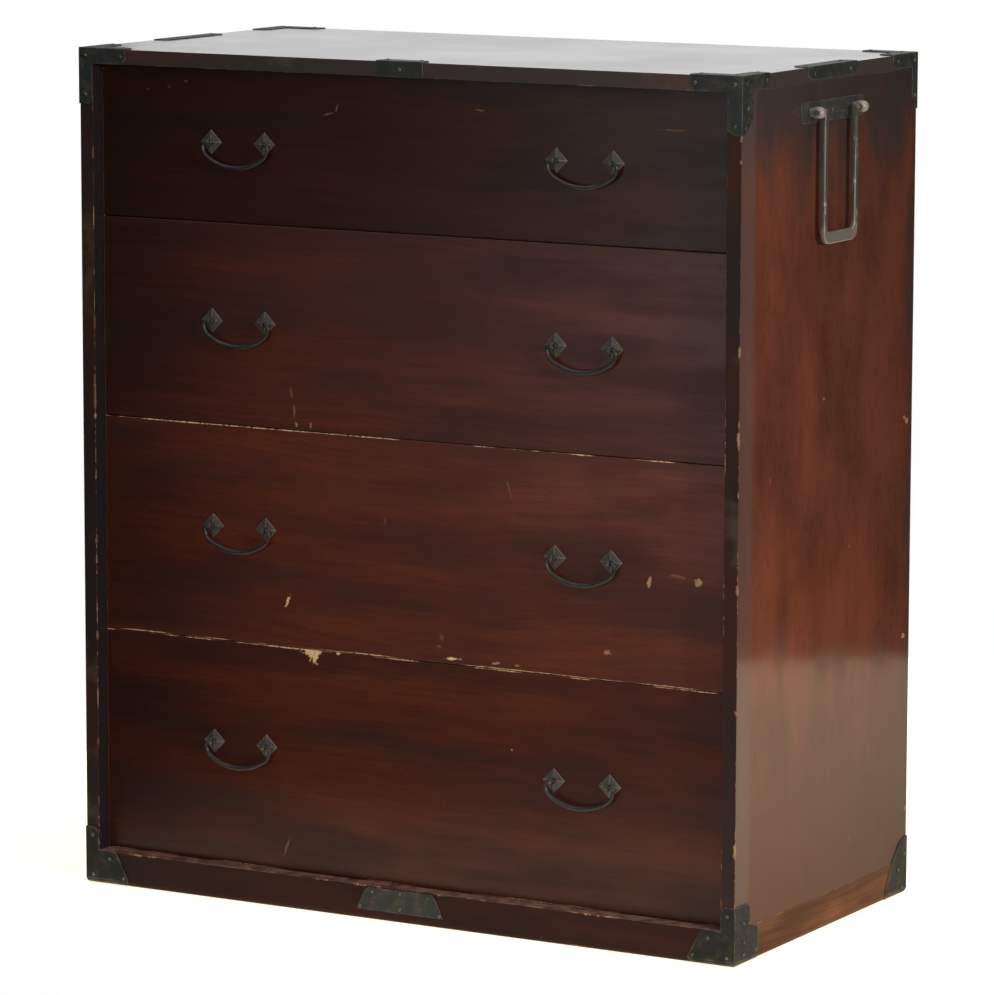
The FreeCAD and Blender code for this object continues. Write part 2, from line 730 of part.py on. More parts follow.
def plate(body, name, face, corners):
    """Sheet iron on one face of the case: front and side take (across, up), top takes (x, y)."""
    role, offset = {"front": ("XZ_Plane", "half_depth"), "back": ("XZ_Plane", "-iron_front"),
                    "side": ("YZ_Plane", "half_width"), "top": ("XY_Plane", "case_height")}[face]
    sketch = draw(body, f"{name}_{face}_outline", role, offset, corners)
    return pad(body, f"{name}_{face}_plate", sketch, "iron_thickness")


def pair_of(name, piece):
    """A right-hand fitting and its left-hand mirror image."""
    return [piece, mirror(f"{name}_left", piece, Vector(1, 0, 0))]


# Iron fittings on the right-hand half of the case; the left-hand ones mirror them

def top_front_iron():
    body = doc.addObject("PartDesign::Body", "top_front_iron")
    arm = "half_width - top_arm_length"
    foot = "case_height - top_stile_arm_length"
    plate(body, "top_front", "front", [
        ("iron_side", "iron_top"), (arm, "iron_top"), (arm, "top_under + arm_end_cut"),
        (f"{arm} + arm_end_cut", "top_under"), ("inner_half", "top_under"),
        ("inner_half", f"{foot} + arm_end_cut"), ("inner_half + arm_end_cut", foot),
        ("iron_side", foot)])
    arm_end = "top_side_arm_length - half_depth"
    under = "case_height - top_side_arm_height"
    wide = "top_side_stile_width - half_depth"
    plate(body, "top_front", "side", [
        ("-iron_front", "iron_top"), (arm_end, "iron_top"), (arm_end, f"{under} + arm_end_cut"),
        (f"{arm_end} - arm_end_cut", under), (wide, under),
        (wide, f"{foot} + top_side_arm_height"), ("arm_end_cut - half_depth", foot),
        ("-iron_front", foot)])
    plate(body, "top_front", "top", [
        ("iron_side", "-iron_front"), ("iron_side", arm_end),
        ("half_width - top_lap + arm_end_cut", arm_end), ("half_width - top_lap", f"{arm_end} - arm_end_cut"),
        ("half_width - top_lap", "top_lap - half_depth"), (f"{arm} + arm_end_cut", "top_lap - half_depth"),
        (arm, "top_lap - half_depth - arm_end_cut"), (arm, "-iron_front")])
    return body


def top_back_iron():
    body = doc.addObject("PartDesign::Body", "top_back_iron")
    arm = "half_width - top_arm_length"
    foot = "case_height - top_stile_arm_length"
    plate(body, "top_back", "back", [
        ("iron_side", "iron_top"), (arm, "iron_top"), (arm, "top_under + arm_end_cut"),
        (f"{arm} + arm_end_cut", "top_under"), ("inner_half", "top_under"),
        ("inner_half", f"{foot} + arm_end_cut"), ("inner_half + arm_end_cut", foot),
        ("iron_side", foot)])
    arm_end = "half_depth - top_side_arm_length"
    under = "case_height - top_side_arm_height"
    wide = "half_depth - top_back_stile_width"
    plate(body, "top_back", "side", [
        ("iron_front", "iron_top"), (arm_end, "iron_top"), (arm_end, f"{under} + arm_end_cut"),
        (f"{arm_end} + arm_end_cut", under), (wide, under),
        (wide, f"{foot} + top_side_arm_height"), ("half_depth - arm_end_cut", foot),
        ("iron_front", foot)])
    plate(body, "top_back", "top", [
        ("iron_side", "iron_front"), ("iron_side", arm_end),
        ("half_width - top_lap + arm_end_cut", arm_end), ("half_width - top_lap", f"{arm_end} + arm_end_cut"),
        ("half_width - top_lap", "half_depth - top_lap"), (f"{arm} + arm_end_cut", "half_depth - top_lap"),
        (arm, "half_depth - top_lap + arm_end_cut"), (arm, "iron_front")])
    return body


def base_front_iron():
    body = doc.addObject("PartDesign::Body", "base_front_iron")
    arm = "half_width - base_arm_length"
    plate(body, "base_front", "front", [
        ("iron_side", "floor_gap"), (f"{arm} + arm_end_cut / 2", "floor_gap"),
        (arm, "floor_gap + arm_end_cut"), (f"{arm} + base_arm_slope", "base_height"),
        ("inner_half", "base_height"), ("inner_half", "base_stile_arm_height - arm_end_cut"),
        ("inner_half + arm_end_cut", "base_stile_arm_height"),
        ("iron_side", "base_stile_arm_height")])
    arm_end = "base_side_arm_length - half_depth"
    wide = "base_side_stile_width - half_depth"
    plate(body, "base_front", "side", [
        ("-iron_front", "floor_gap"), (arm_end, "floor_gap"), (arm_end, "base_height - arm_end_cut / 2"),
        (wide, "base_height + arm_end_cut / 2"), (wide, "base_stile_arm_height - arm_end_cut"),
        (f"{wide} - arm_end_cut", "base_stile_arm_height"),
        ("-iron_front", "base_stile_arm_height")])
    return body


def base_back_iron():
    body = doc.addObject("PartDesign::Body", "base_back_iron")
    arm = "half_width - base_arm_length"
    plate(body, "base_back", "back", [
        ("iron_side", "floor_gap"), (f"{arm} + arm_end_cut / 2", "floor_gap"),
        (arm, "floor_gap + arm_end_cut"), (f"{arm} + base_arm_slope", "base_height"),
        ("inner_half", "base_height"), ("inner_half", "base_stile_arm_height - arm_end_cut"),
        ("inner_half + arm_end_cut", "base_stile_arm_height"),
        ("iron_side", "base_stile_arm_height")])
    arm_end = "half_depth - base_back_arm_length"
    slope = [(f"half_depth - base_back_arm_length * {along}", f"base_stile_arm_height * {up}")
             for along, up in BACK_EDGE_SHARES]
    plate(body, "base_back", "side", [
        ("iron_front", "floor_gap"), (arm_end, "floor_gap"), (arm_end, "floor_gap + arm_end_cut"),
        *slope, ("half_depth - arm_end_cut / 2", "base_stile_arm_height"),
        ("iron_front", "base_stile_arm_height")])
    return body


def edge_plates():
    front = doc.addObject("PartDesign::Body", "front_edge_plate")
    half = "front_plate_length / 2"
    plate(front, "front_edge", "front", [
        (f"-{half}", "top_under"), (half, "top_under"), (half, "iron_top"), (f"-{half}", "iron_top")])
    plate(front, "front_edge", "top", [
        (f"-{half}", "-iron_front"), (half, "-iron_front"),
        (half, "top_lap - half_depth - arm_end_cut"), (f"{half} - arm_end_cut", "top_lap - half_depth"),
        (f"arm_end_cut - {half}", "top_lap - half_depth"),
        (f"-{half}", "top_lap - half_depth - arm_end_cut")])

    side = doc.addObject("PartDesign::Body", "side_edge_plate")
    half = "side_plate_length / 2"
    under = "case_height - side_plate_height"
    plate(side, "side_edge", "side", [
        (f"arm_end_cut - {half}", under), (f"{half} - arm_end_cut", under),
        (half, f"{under} + arm_end_cut"), (half, "iron_top"), (f"-{half}", "iron_top"),
        (f"-{half}", f"{under} + arm_end_cut")])
    plate(side, "side_edge", "top", [
        ("iron_side", f"-{half}"), ("iron_side", half), ("half_width - top_lap + arm_end_cut", half),
        ("half_width - top_lap", f"{half} - arm_end_cut"), ("half_width - top_lap", f"arm_end_cut - {half}"),
        ("half_width - top_lap + arm_end_cut", f"-{half}")])

    low = doc.addObject("PartDesign::Body", "base_middle_plate")
    foot = "base_plate_length / 2"
    head = "base_plate_top_length / 2"
    top = "base_plate_rise + base_plate_height"
    plate(low, "base_middle", "front", [
        (f"-{foot}", "base_plate_rise"), (foot, "base_plate_rise"),
        (f"{head} + arm_end_cut", f"{top} - arm_end_cut"), (head, top), (f"-{head}", top),
        (f"-{head} - arm_end_cut", f"{top} - arm_end_cut")])
    return [front, low] + pair_of("side_edge_plate", side)


def make_irons():
    keep(group("top_irons", pair_of("top_front_iron", top_front_iron())
               + pair_of("top_back_iron", top_back_iron())), "top_corner_irons")
    keep(group("base_irons", pair_of("base_front_iron", base_front_iron())
               + pair_of("base_back_iron", base_back_iron())), "base_corner_irons")
    keep(group("edge_irons", edge_plates()), "edge_plates")


# Pole handles: a plate, two ball-headed posts and a long bail on each side

def pole_plate():
    body = doc.addObject("PartDesign::Body", "pole_plate")
    half = "pole_plate_length / 2"
    low = "pole_level - pole_plate_height / 2"
    high = "pole_level + pole_plate_height / 2"
    outline = draw(body, "pole_plate_outline", "YZ_Plane", "half_width", [
        (f"pole_plate_cut - {half}", low), (f"{half} - pole_plate_cut", low),
        (half, f"{low} + pole_plate_cut"), (half, f"{high} - pole_plate_cut"),
        (f"{half} - pole_plate_cut", high), (f"pole_plate_cut - {half}", high),
        (f"-{half}", f"{high} - pole_plate_cut"), (f"-{half}", f"{low} + pole_plate_cut")])
    pad(body, "pole_plate_sheet", outline, "pole_plate_thickness")
    holes = pole_holes("plate", "half_width", "pole_plate_face")
    return cut("pole_plate_cut", body, group("plate_holes", holes))


def pole_post():
    """A hammered ball on a short neck, with a cross hole for the bail's end and a square shank."""
    rings = [across_ring("post_foot", "pole_plate_face", "pole_neck_radius + pole_pin_end")]
    for turned in BALL_TURNS:
        rings.append(across_ring(f"post_ring_{turned}", f"pole_axis + pole_ball_radius * sin({turned})",
                                 f"pole_ball_radius * cos({turned})"))
    head = doc.addObject("Part::Loft", "post_head")
    head.Sections = rings
    head.Solid = True
    head.Ruled = True
    shank = box("post_shank", ("inner_half", "pole_plate_face"),
                ("half_pole_posts - half_pole_shank", "half_pole_posts + half_pole_shank"),
                ("pole_level - half_pole_shank", "pole_level + half_pole_shank"))
    hole = rod("post_cross_hole", "Y", "pole_pin_radius + pole_pin_slack",
               ("half_pole_posts - 2 * pole_ball_radius", "half_pole_posts + 2 * pole_ball_radius"),
               ("pole_axis", "pole_level"))
    return cut("pole_post", fuse("post_blank", [head, shank]), hole)


def across_ring(name, out, radius):
    """A many-sided ring round a post's axis, at a distance out from the case's middle."""
    ring = doc.addObject("Part::RegularPolygon", name)
    ring.Polygon = BALL_SIDES
    bind(ring, Circumradius=radius)
    turn(ring, Vector(0, 1, 0), 90)
    return place(ring, out, "half_pole_posts", "pole_level")


def pole_bail():
    """A long forged loop whose upper ends turn outward into the balls of the posts."""
    body = doc.addObject("PartDesign::Body", "pole_bail")
    outer = "(pole_bail_width + pole_leg_width) / 2"
    inner = "(pole_bail_width - pole_leg_width) / 2"
    low = "pole_level - pole_bail_length"
    high = "pole_level + pole_pin_radius"
    outside = stepped_turn(outer, low, "pole_corner_radius")
    inside = stepped_turn(inner, f"{low} + pole_bar_height", "pole_inner_radius")
    right = [(outer, high)] + outside
    left = [(inner, high)] + inside
    outline = draw(body, "pole_bail_outline", "YZ_Plane", "pole_axis - pole_leg_thickness / 2",
                   right + flipped(right) + left_out(left))
    blank = pad(body, "pole_bail_bar", outline, "pole_leg_thickness")
    doc.recompute()
    middle = measure("pole_axis")
    eased = body.newObject("PartDesign::Chamfer", "pole_bail_arris")
    eased.Base = (blank, edges_where(blank.Shape, lambda spot: abs(spot.x - middle) > 1))
    bind(eased, Size="pole_bail_arris")
    pins = []
    far = "half_pole_posts + pole_ball_radius + pole_pin_end"
    for end, near, turned in (("front", inner, 90), ("rear", inner, -90)):
        pin = doc.addObject("Part::Prism", f"pole_pin_{end}")
        pin.Polygon = BAR_SIDES
        bind(pin, Circumradius="pole_pin_radius", Height=f"{far} - {near}")
        turn(pin, Vector(1, 0, 0), turned)
        sign = "-" if end == "front" else ""
        pins.append(place(pin, "pole_axis", f"{sign}({near})", "pole_level"))
    return fuse("pole_bail_whole", [body] + pins)


def stepped_turn(across, level, radius):
    """The lower right corner of a loop, turned in steps: pairs of formulas from its side on."""
    corner = []
    for turned in CORNER_TURNS:
        corner.append((f"{across} - {radius} * (1 - cos({turned}))",
                       f"{level} + {radius} * (1 - sin({turned}))"))
    return corner


def flipped(corners):
    """The other half of a loop, from its middle on."""
    return [(f"-({across})", level) for across, level in corners[::-1]]


def left_out(corners):
    """The inner outline of a loop, drawn back from its left end to its right end."""
    return [(f"-({across})", level) for across, level in corners] + corners[::-1]


def make_pole_handles():
    keep(group("pole_plates", pair_of("pole_plate", pole_plate())), "pole_handle_plates")
    post = pole_post()
    front_post = mirror("pole_post_front", post, Vector(0, 1, 0))
    posts = group("pole_posts_right", [post, front_post])
    keep(group("pole_posts", pair_of("pole_posts", posts)), "pole_handle_posts")
    right = pole_bail()
    keep(right, "right_pole_bail")
    keep(mirror("pole_bail_left", right, Vector(1, 0, 0)), "left_pole_bail")


make_case()
make_shelves()
make_base()
for drawer_number in (1, 2, 3, 4):
    make_drawer(drawer_number)
make_handles()
make_irons()
make_pole_handles()
make_nails()
doc.recompute()

# Every object has to be sound before a file is written.
for thing in doc.Objects:
    if "Invalid" in thing.State or "Error" in thing.State:
        raise RuntimeError(f"{thing.Name} failed: {thing.State}")
for thing in nodes:
    if thing.Shape.isNull() or not thing.Shape.isValid() or not thing.Shape.Solids:
        raise RuntimeError(f"{thing.Label} has no sound shape")

os.makedirs("parts", exist_ok=True)
for thing in nodes:
    thing.Shape.exportStep(f"parts/{thing.Label}.step")
print(len(nodes), "sub-parts,", sum(len(thing.Shape.Solids) for thing in nodes), "solids")
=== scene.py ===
# Isho clothing chest: finishes, worn edges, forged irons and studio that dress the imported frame.

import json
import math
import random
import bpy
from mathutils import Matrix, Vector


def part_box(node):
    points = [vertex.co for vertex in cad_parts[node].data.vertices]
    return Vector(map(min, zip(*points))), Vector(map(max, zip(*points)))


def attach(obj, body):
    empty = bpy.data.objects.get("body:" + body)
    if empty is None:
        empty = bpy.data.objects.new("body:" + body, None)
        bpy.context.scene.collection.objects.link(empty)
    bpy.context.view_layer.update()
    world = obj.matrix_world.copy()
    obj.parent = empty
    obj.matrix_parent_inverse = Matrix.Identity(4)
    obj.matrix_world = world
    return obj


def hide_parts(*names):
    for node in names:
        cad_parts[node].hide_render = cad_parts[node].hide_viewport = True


bl_info = {
    "name": "Isho Clothing Chest",
    "version": (1, 0, 0),
    "blender": (4, 5, 0),
    "location": "3D View > Sidebar > Isho Chest",
    "description": "Lacquered clothing chest with forged handles, dressed piece by piece",
    "category": "Object",
}

import bmesh
import bpy
from bpy.props import FloatProperty, FloatVectorProperty, IntProperty, PointerProperty
from mathutils import Matrix, Vector

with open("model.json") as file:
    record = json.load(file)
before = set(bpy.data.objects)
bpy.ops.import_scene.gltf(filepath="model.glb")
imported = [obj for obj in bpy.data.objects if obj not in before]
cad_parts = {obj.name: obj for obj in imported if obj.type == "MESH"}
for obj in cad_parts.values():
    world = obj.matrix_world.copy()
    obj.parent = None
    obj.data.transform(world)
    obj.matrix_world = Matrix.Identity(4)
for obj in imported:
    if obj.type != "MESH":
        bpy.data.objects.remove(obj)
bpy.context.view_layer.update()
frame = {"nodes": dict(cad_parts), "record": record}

DRAWERS = (1, 2, 3, 4)
SIDES = ("left", "right")
MM = 0.001
MERGE_DISTANCE = 0.01 * MM
FLAT_ANGLE = math.radians(0.6)

CASE_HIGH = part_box("top_board")[1]


# Settings that a user would change

def colour(name, description, default):
    return FloatVectorProperty(name=name, description=description, default=default,
                               subtype="COLOR", min=0.0, max=1.0)


def length(name, description, default):
    return FloatProperty(name=name, description=description, default=default, unit="LENGTH")


class ChestLacquer(bpy.types.PropertyGroup):
    """Colours of the lacquered and bare wood."""
    drawer_tone: colour("Drawer red", "Lacquer of the drawer fronts", (0.078, 0.0150, 0.0055))
    drawer_dark: colour("Drawer dark", "Dark grain of the drawer fronts", (0.046, 0.0090, 0.0036))
    side_tone: colour("Side red", "Lacquer of the sides", (0.118, 0.0330, 0.0160))
    side_dark: colour("Side dark", "Dark grain and stains of the sides", (0.084, 0.0238, 0.0130))
    stile_tone: colour("Edge black", "Lacquer on the case's front edges", (0.0135, 0.0098, 0.0110))
    top_tone: colour("Top brown", "Lacquer of the top", (0.040, 0.016, 0.011))
    worn_tone: colour("Worn wood", "Bare wood where the lacquer is gone", (0.560, 0.370, 0.200))
    bare_tone: colour("Inside wood", "Unfinished wood of the drawer boxes", (0.480, 0.330, 0.190))


class ChestIron(bpy.types.PropertyGroup):
    """Colours of the iron fittings."""
    sheet_tone: colour("Sheet iron", "Blackened sheet iron", (0.011, 0.014, 0.0135))
    rust_tone: colour("Rust", "Olive rust on the fittings", (0.052, 0.038, 0.020))
    rubbed_tone: colour("Rubbed iron", "Edges rubbed bright", (0.150, 0.135, 0.110))
    bail_tone: colour("Drawer bails", "Forged drawer bails", (0.020, 0.019, 0.018))
    rosette_tone: colour("Rosettes", "Worn rosettes and eyes", (0.056, 0.048, 0.043))
    pole_tone: colour("Pole handles", "Worn pole handles", (0.075, 0.068, 0.058))


class ChestWear(bpy.types.PropertyGroup):
    """Sizes of the wear on edges."""
    board_arris: length("Board arris", "Rounding of the boards' edges", 0.8 * MM)
    iron_arris: length("Iron arris", "Rounding of the irons' edges", 0.3 * MM)
    rubbed_strip: length("Rubbed strip", "Bright strip along the irons' edges", 1.0 * MM)
    board_wear: length("Edge wear", "Reach of the wear on the boards' edges", 1.6 * MM)
    seed: IntProperty(name="Seed", description="Start of the random nail shapes", default=7)


class ChestStudio(bpy.types.PropertyGroup):
    """Floor, lights and camera."""
    floor_radius: length("Floor radius", "Radius of the pale floor", 1.36)
    overhead: FloatProperty(name="Overhead", description="Power of the overhead softbox",
                            default=130.0, unit="POWER")
    back: FloatProperty(name="Back", description="Power of the softbox behind the chest",
                        default=54.0, unit="POWER")
    side: FloatProperty(name="Side", description="Power of the small light that faces the side",
                        default=54.0, unit="POWER")
    front: FloatProperty(name="Front", description="Power of the softbox that faces the front",
                         default=33.0, unit="POWER")
    haze: FloatProperty(name="Haze", description="Power of the softbox that the front mirrors",
                        default=5.2, unit="POWER")
    room: FloatProperty(name="Room", description="Brightness of the room around the chest",
                        default=0.05, min=0.0)
    focal_length: FloatProperty(name="Focal length", description="Lens of the camera",
                                default=195.36, unit="CAMERA")


# Meshes

def copy_of(node):
    """A CAD node's shape, with its triangles joined into flat faces again."""
    form = bmesh.new()
    form.from_mesh(frame["nodes"][node].data)
    bmesh.ops.remove_doubles(form, verts=form.verts, dist=MERGE_DISTANCE)
    bmesh.ops.dissolve_limit(form, angle_limit=FLAT_ANGLE, use_dissolve_boundaries=False,
                             verts=form.verts, edges=form.edges)
    return form


def outer_edges(form, least):
    """Edges that stand out by more than an angle, in degrees."""
    return [edge for edge in form.edges
            if edge.is_manifold and edge.calc_face_angle_signed() > math.radians(least)]


def round_over(form, width, segments=2, least=25):
    """Rounds the edges that stand out, and gives back the new faces."""
    made = bmesh.ops.bevel(form, geom=outer_edges(form, least), offset=width, offset_type="OFFSET",
                           affect="EDGES", segments=segments, profile=0.5, material=-1,
                           clamp_overlap=True)
    for face in made["faces"]:
        face.smooth = True
    return made["faces"]


def rub(form, rounded, strip):
    """Marks the rounded edges, and a strip beside them on the larger faces, as rubbed."""
    mark = form.loops.layers.float.new("rubbed")
    rounded = set(rounded)
    broad = [face for face in form.faces
             if face not in rounded and face.calc_area() > (12 * strip) ** 2]
    bmesh.ops.inset_individual(form, faces=broad, thickness=strip, depth=0.0,
                               use_even_offset=True)
    inner = set(vert for face in broad for vert in face.verts)
    for face in form.faces:
        for loop in face.loops:
            loop[mark] = 0.0 if loop.vert in inner else 1.0


def placed(name, data):
    """A new object in the scene, in place of an older one of its name."""
    old = bpy.data.objects.get(name)
    if old:
        bpy.data.objects.remove(old)
    made = bpy.data.objects.new(name, data)
    bpy.context.scene.collection.objects.link(made)
    return made


def mesh_of(form, name, material=None):
    """Turns a bmesh into a mesh, and frees it."""
    mesh = bpy.data.meshes.new(name)
    form.to_mesh(mesh)
    form.free()
    if material:
        mesh.materials.append(material)
    return mesh


def piece(form, name, material, body, node):
    """Turns a bmesh into a named piece that rides on a body and stands for a CAD node."""
    made = placed(name, mesh_of(form, name, material))
    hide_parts(node)
    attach(made, body)
    return made


def smooth_faces(form):
    for face in form.faces:
        face.smooth = True


FOOT_RADIUS = 6 * MM
FOOT_CUTS = (0.02, 0.12, 0.3, 0.55, 1.0)  # levels, as shares of the radius
FOOT_DEPTH = 0.8  # how much of the round is worn away
FACE_REACH = 1.5 * MM  # how far inside the outer face a point still belongs to it


def wear_foot(form):
    """Wears the case's lowest corners round."""
    for share in FOOT_CUTS:
        bmesh.ops.bisect_plane(form, geom=form.verts[:] + form.edges[:] + form.faces[:],
                               dist=1e-7, plane_co=(0, 0, FOOT_RADIUS * share),
                               plane_no=(0, 0, 1))
    for vert in form.verts:
        if vert.co.z < FOOT_RADIUS:
            drop = FOOT_RADIUS - max(vert.co.z, 0.0)
            inset = FOOT_DEPTH * (FOOT_RADIUS - math.sqrt(FOOT_RADIUS ** 2 - drop ** 2))
            for axis, outer in ((0, CASE_HIGH.x), (1, CASE_HIGH.y)):
                if abs(vert.co[axis]) > outer - FACE_REACH:
                    vert.co[axis] -= math.copysign(inset, vert.co[axis])


def worn_copy(node, material, body, width, segments=2, least=25, strip=0.0):
    """A CAD node with rounded, rubbed edges."""
    form = copy_of(node)
    if node.startswith("base_"):
        wear_foot(form)
    rounded = round_over(form, width, segments, least)
    if strip:
        rub(form, rounded, strip)
    return piece(form, f"{node}_worn", material, body, node)


def refinish(node, material):
    """Gives a CAD node, whose shape stays, a better finish."""
    target = frame["nodes"][node]
    target.data.materials.clear()
    target.data.materials.append(material)


# Materials

GRAIN = {  # noise scales per metre along X, Y and Z for grain that runs along each axis
    "X": ((1.2, 9.0, 15.0), (5.0, 60.0, 210.0), (22.0, 300.0, 700.0)),
    "Y": ((9.0, 1.2, 15.0), (60.0, 5.0, 210.0), (300.0, 22.0, 700.0)),
    "Z": ((15.0, 15.0, 2.6), (90.0, 90.0, 7.0), (600.0, 600.0, 40.0)),
}
GRAIN_BENDS = {"X": (1, 2), "Y": (0, 2), "Z": (0, 1)}  # the axes across the grain


class Finish:
    """A procedural finish; each call adds a node and gives its output."""

    def __init__(self, name):
        self.material = bpy.data.materials.get(name) or bpy.data.materials.new(name)
        self.material.use_nodes = True
        self.tree = self.material.node_tree
        self.tree.nodes.clear()
        self.spot = self.add("ShaderNodeTexCoord").outputs["Object"]

    def feed(self, socket, value):
        if isinstance(value, bpy.types.NodeSocket):
            self.tree.links.new(value, socket)
        elif value is not None:
            socket.default_value = value

    def add(self, kind, sockets=None, **settings):
        node = self.tree.nodes.new(kind)
        for key, value in settings.items():
            setattr(node, key, value)
        for key, value in (sockets or {}).items():
            self.feed(node.inputs[key], value)
        return node

    def calc(self, operation, first, second=None, third=None):
        node = self.add("ShaderNodeMath", {0: first, 1: second}, operation=operation)
        if third is not None:
            self.feed(node.inputs[2], third)
        return node.outputs[0]

    def cloud(self, scale, detail=3.0, rough=0.55, at=(0, 0, 0), turn=(0, 0, 0), spot=None):
        """Noise with its own scale along each axis, per metre."""
        spread = self.add("ShaderNodeMapping", {"Vector": spot or self.spot, "Location": at,
                                                "Rotation": turn, "Scale": scale})
        node = self.add("ShaderNodeTexNoise", {"Vector": spread.outputs[0], "Scale": 1.0,
                                               "Detail": detail, "Roughness": rough})
        return node.outputs["Fac"]

    def fade(self, value, low, high, start=0.0, end=1.0):
        """A smooth step from one value to another."""
        node = self.add("ShaderNodeMapRange", {"Value": value, "From Min": low, "From Max": high,
                                               "To Min": start, "To Max": end},
                        interpolation_type="SMOOTHSTEP")
        return node.outputs[0]

    def blend(self, share, first, second, mode="MIX"):
        """Two colours mixed."""
        node = self.add("ShaderNodeMix", {0: share}, data_type="RGBA", blend_type=mode)
        for count, value in ((6, first), (7, second)):
            if not isinstance(value, bpy.types.NodeSocket):
                value = (*value, 1.0)
            self.feed(node.inputs[count], value)
        return node.outputs[2]

    def shaded(self, paint, shade):
        """A colour darkened or lightened by one number."""
        grey = self.add("ShaderNodeCombineColor", {0: shade, 1: shade, 2: shade})
        return self.blend(1.0, paint, grey.outputs[0], "MULTIPLY")

    def parts(self, vector):
        return self.add("ShaderNodeSeparateXYZ", {0: vector}).outputs

    def vector(self, operation, first, second):
        return self.add("ShaderNodeVectorMath", {0: first, 1: second},
                        operation=operation).outputs[0]

    def grained(self, run, shift):
        """Broad bands, narrow streaks and pores of wood whose grain runs along an axis."""
        bend = self.cloud((2.2, 2.2, 2.2), 2.0, at=(shift, 3.1, 0.4))
        wave = self.calc("MULTIPLY_ADD", bend, 0.06, -0.03)
        bent = self.add("ShaderNodeCombineXYZ", {count: wave for count in GRAIN_BENDS[run]})
        place = self.vector("ADD", self.spot, bent.outputs[0])
        broad, narrow, pores = GRAIN[run]
        return (self.cloud(broad, 3.0, 0.5, at=(shift, shift * 2, shift * 3), spot=place),
                self.cloud(narrow, 3.0, 0.6, at=(shift, shift, shift), spot=place),
                self.cloud(pores, 2.0, 0.6, at=(shift, 0, shift), spot=place))

    def edge_distance(self, low, high, run=None):
        """Distance, on a board's surface, to its box's nearest edge, or nearest edge along run."""
        near = self.vector("MINIMUM", self.vector("SUBTRACT", self.spot, tuple(low)),
                           self.vector("SUBTRACT", tuple(high), self.spot))
        x, y, z = self.parts(near)
        if run:
            across = [part for part, axis in zip((x, y, z), "XYZ") if axis != run]
            return self.calc("MAXIMUM", *across)
        smaller, larger = self.calc("MINIMUM", x, y), self.calc("MAXIMUM", x, y)
        return self.calc("MAXIMUM", smaller, self.calc("MINIMUM", larger, z))

    def chip(self, at, size, turn):
        """A chip or scratch: a ragged spot, with its half-sizes, at a measured place."""
        node = self.add("ShaderNodeMapping", {"Vector": self.spot, "Location": at,
                                              "Rotation": turn, "Scale": size},
                        vector_type="TEXTURE")
        bend = self.add("ShaderNodeTexNoise", {"Vector": self.spot, "Scale": 170.0,
                                               "Detail": 3.0, "Roughness": 0.7})
        shift = self.add("ShaderNodeVectorMath", {0: bend.outputs["Color"], 1: (2.6, 2.6, 2.6),
                                                  2: (-1.3, -1.3, -1.3)},
                         operation="MULTIPLY_ADD")
        moved = self.vector("ADD", node.outputs[0], shift.outputs[0])
        reach = self.add("ShaderNodeVectorMath", {0: moved}, operation="LENGTH")
        return self.fade(reach.outputs["Value"], 0.55, 1.05, 1.0, 0.0)

    def relief(self, height, distance, strength=1.0, onto=None):
        node = self.add("ShaderNodeBump", {"Height": height, "Distance": distance,
                                           "Strength": strength})
        if onto:
            self.feed(node.inputs["Normal"], onto)
        return node.outputs[0]

    def surface(self, **sockets):
        """The shader; a socket's name is written with underscores."""
        shader = self.add("ShaderNodeBsdfPrincipled",
                          {key.replace("_", " "): value for key, value in sockets.items()})
        out = self.add("ShaderNodeOutputMaterial")
        self.tree.links.new(shader.outputs[0], out.inputs[0])
        return self.material


WHITE = (1.0, 1.0, 1.0)
AGED_WOOD, WOOD_PORES = (0.20, 0.135, 0.085), (0.12, 0.075, 0.045)
GAP_BLACK = (0.02, 0.014, 0.010)
PORE_BLACK = (0.008, 0.004, 0.003)
GRIT_BLACK = (0.008, 0.005, 0.004)
FOOT_SHADE_BROWN = (0.044, 0.010, 0.001)  # painted shade at the foot of a side, darker and browner
UPPER_SHADE = (0.85, 0.88, 0.96)  # what the lacquer keeps of its colour high on a side
STRIP_BROWN = (0.074, 0.046, 0.040)  # the dull band behind a side's front edge
FADED_EDGE = (0.060, 0.046, 0.030)
THIN_LACQUER = (0.16, 0.052, 0.026)  # around bare wood
STREAK_SHARE = {"X": 0.58, "Y": 0.58, "Z": 0.25}  # narrow streaks against broad bands
DRIFT_SCALE = {"X": (3.4, 3.4, 17.0), "Y": (3.4, 3.4, 17.0), "Z": (9.0, 9.0, 6.5)}
LINING_STARTS = (21 * MM, 23 * MM)  # behind the front edge, where the drawer fronts stand


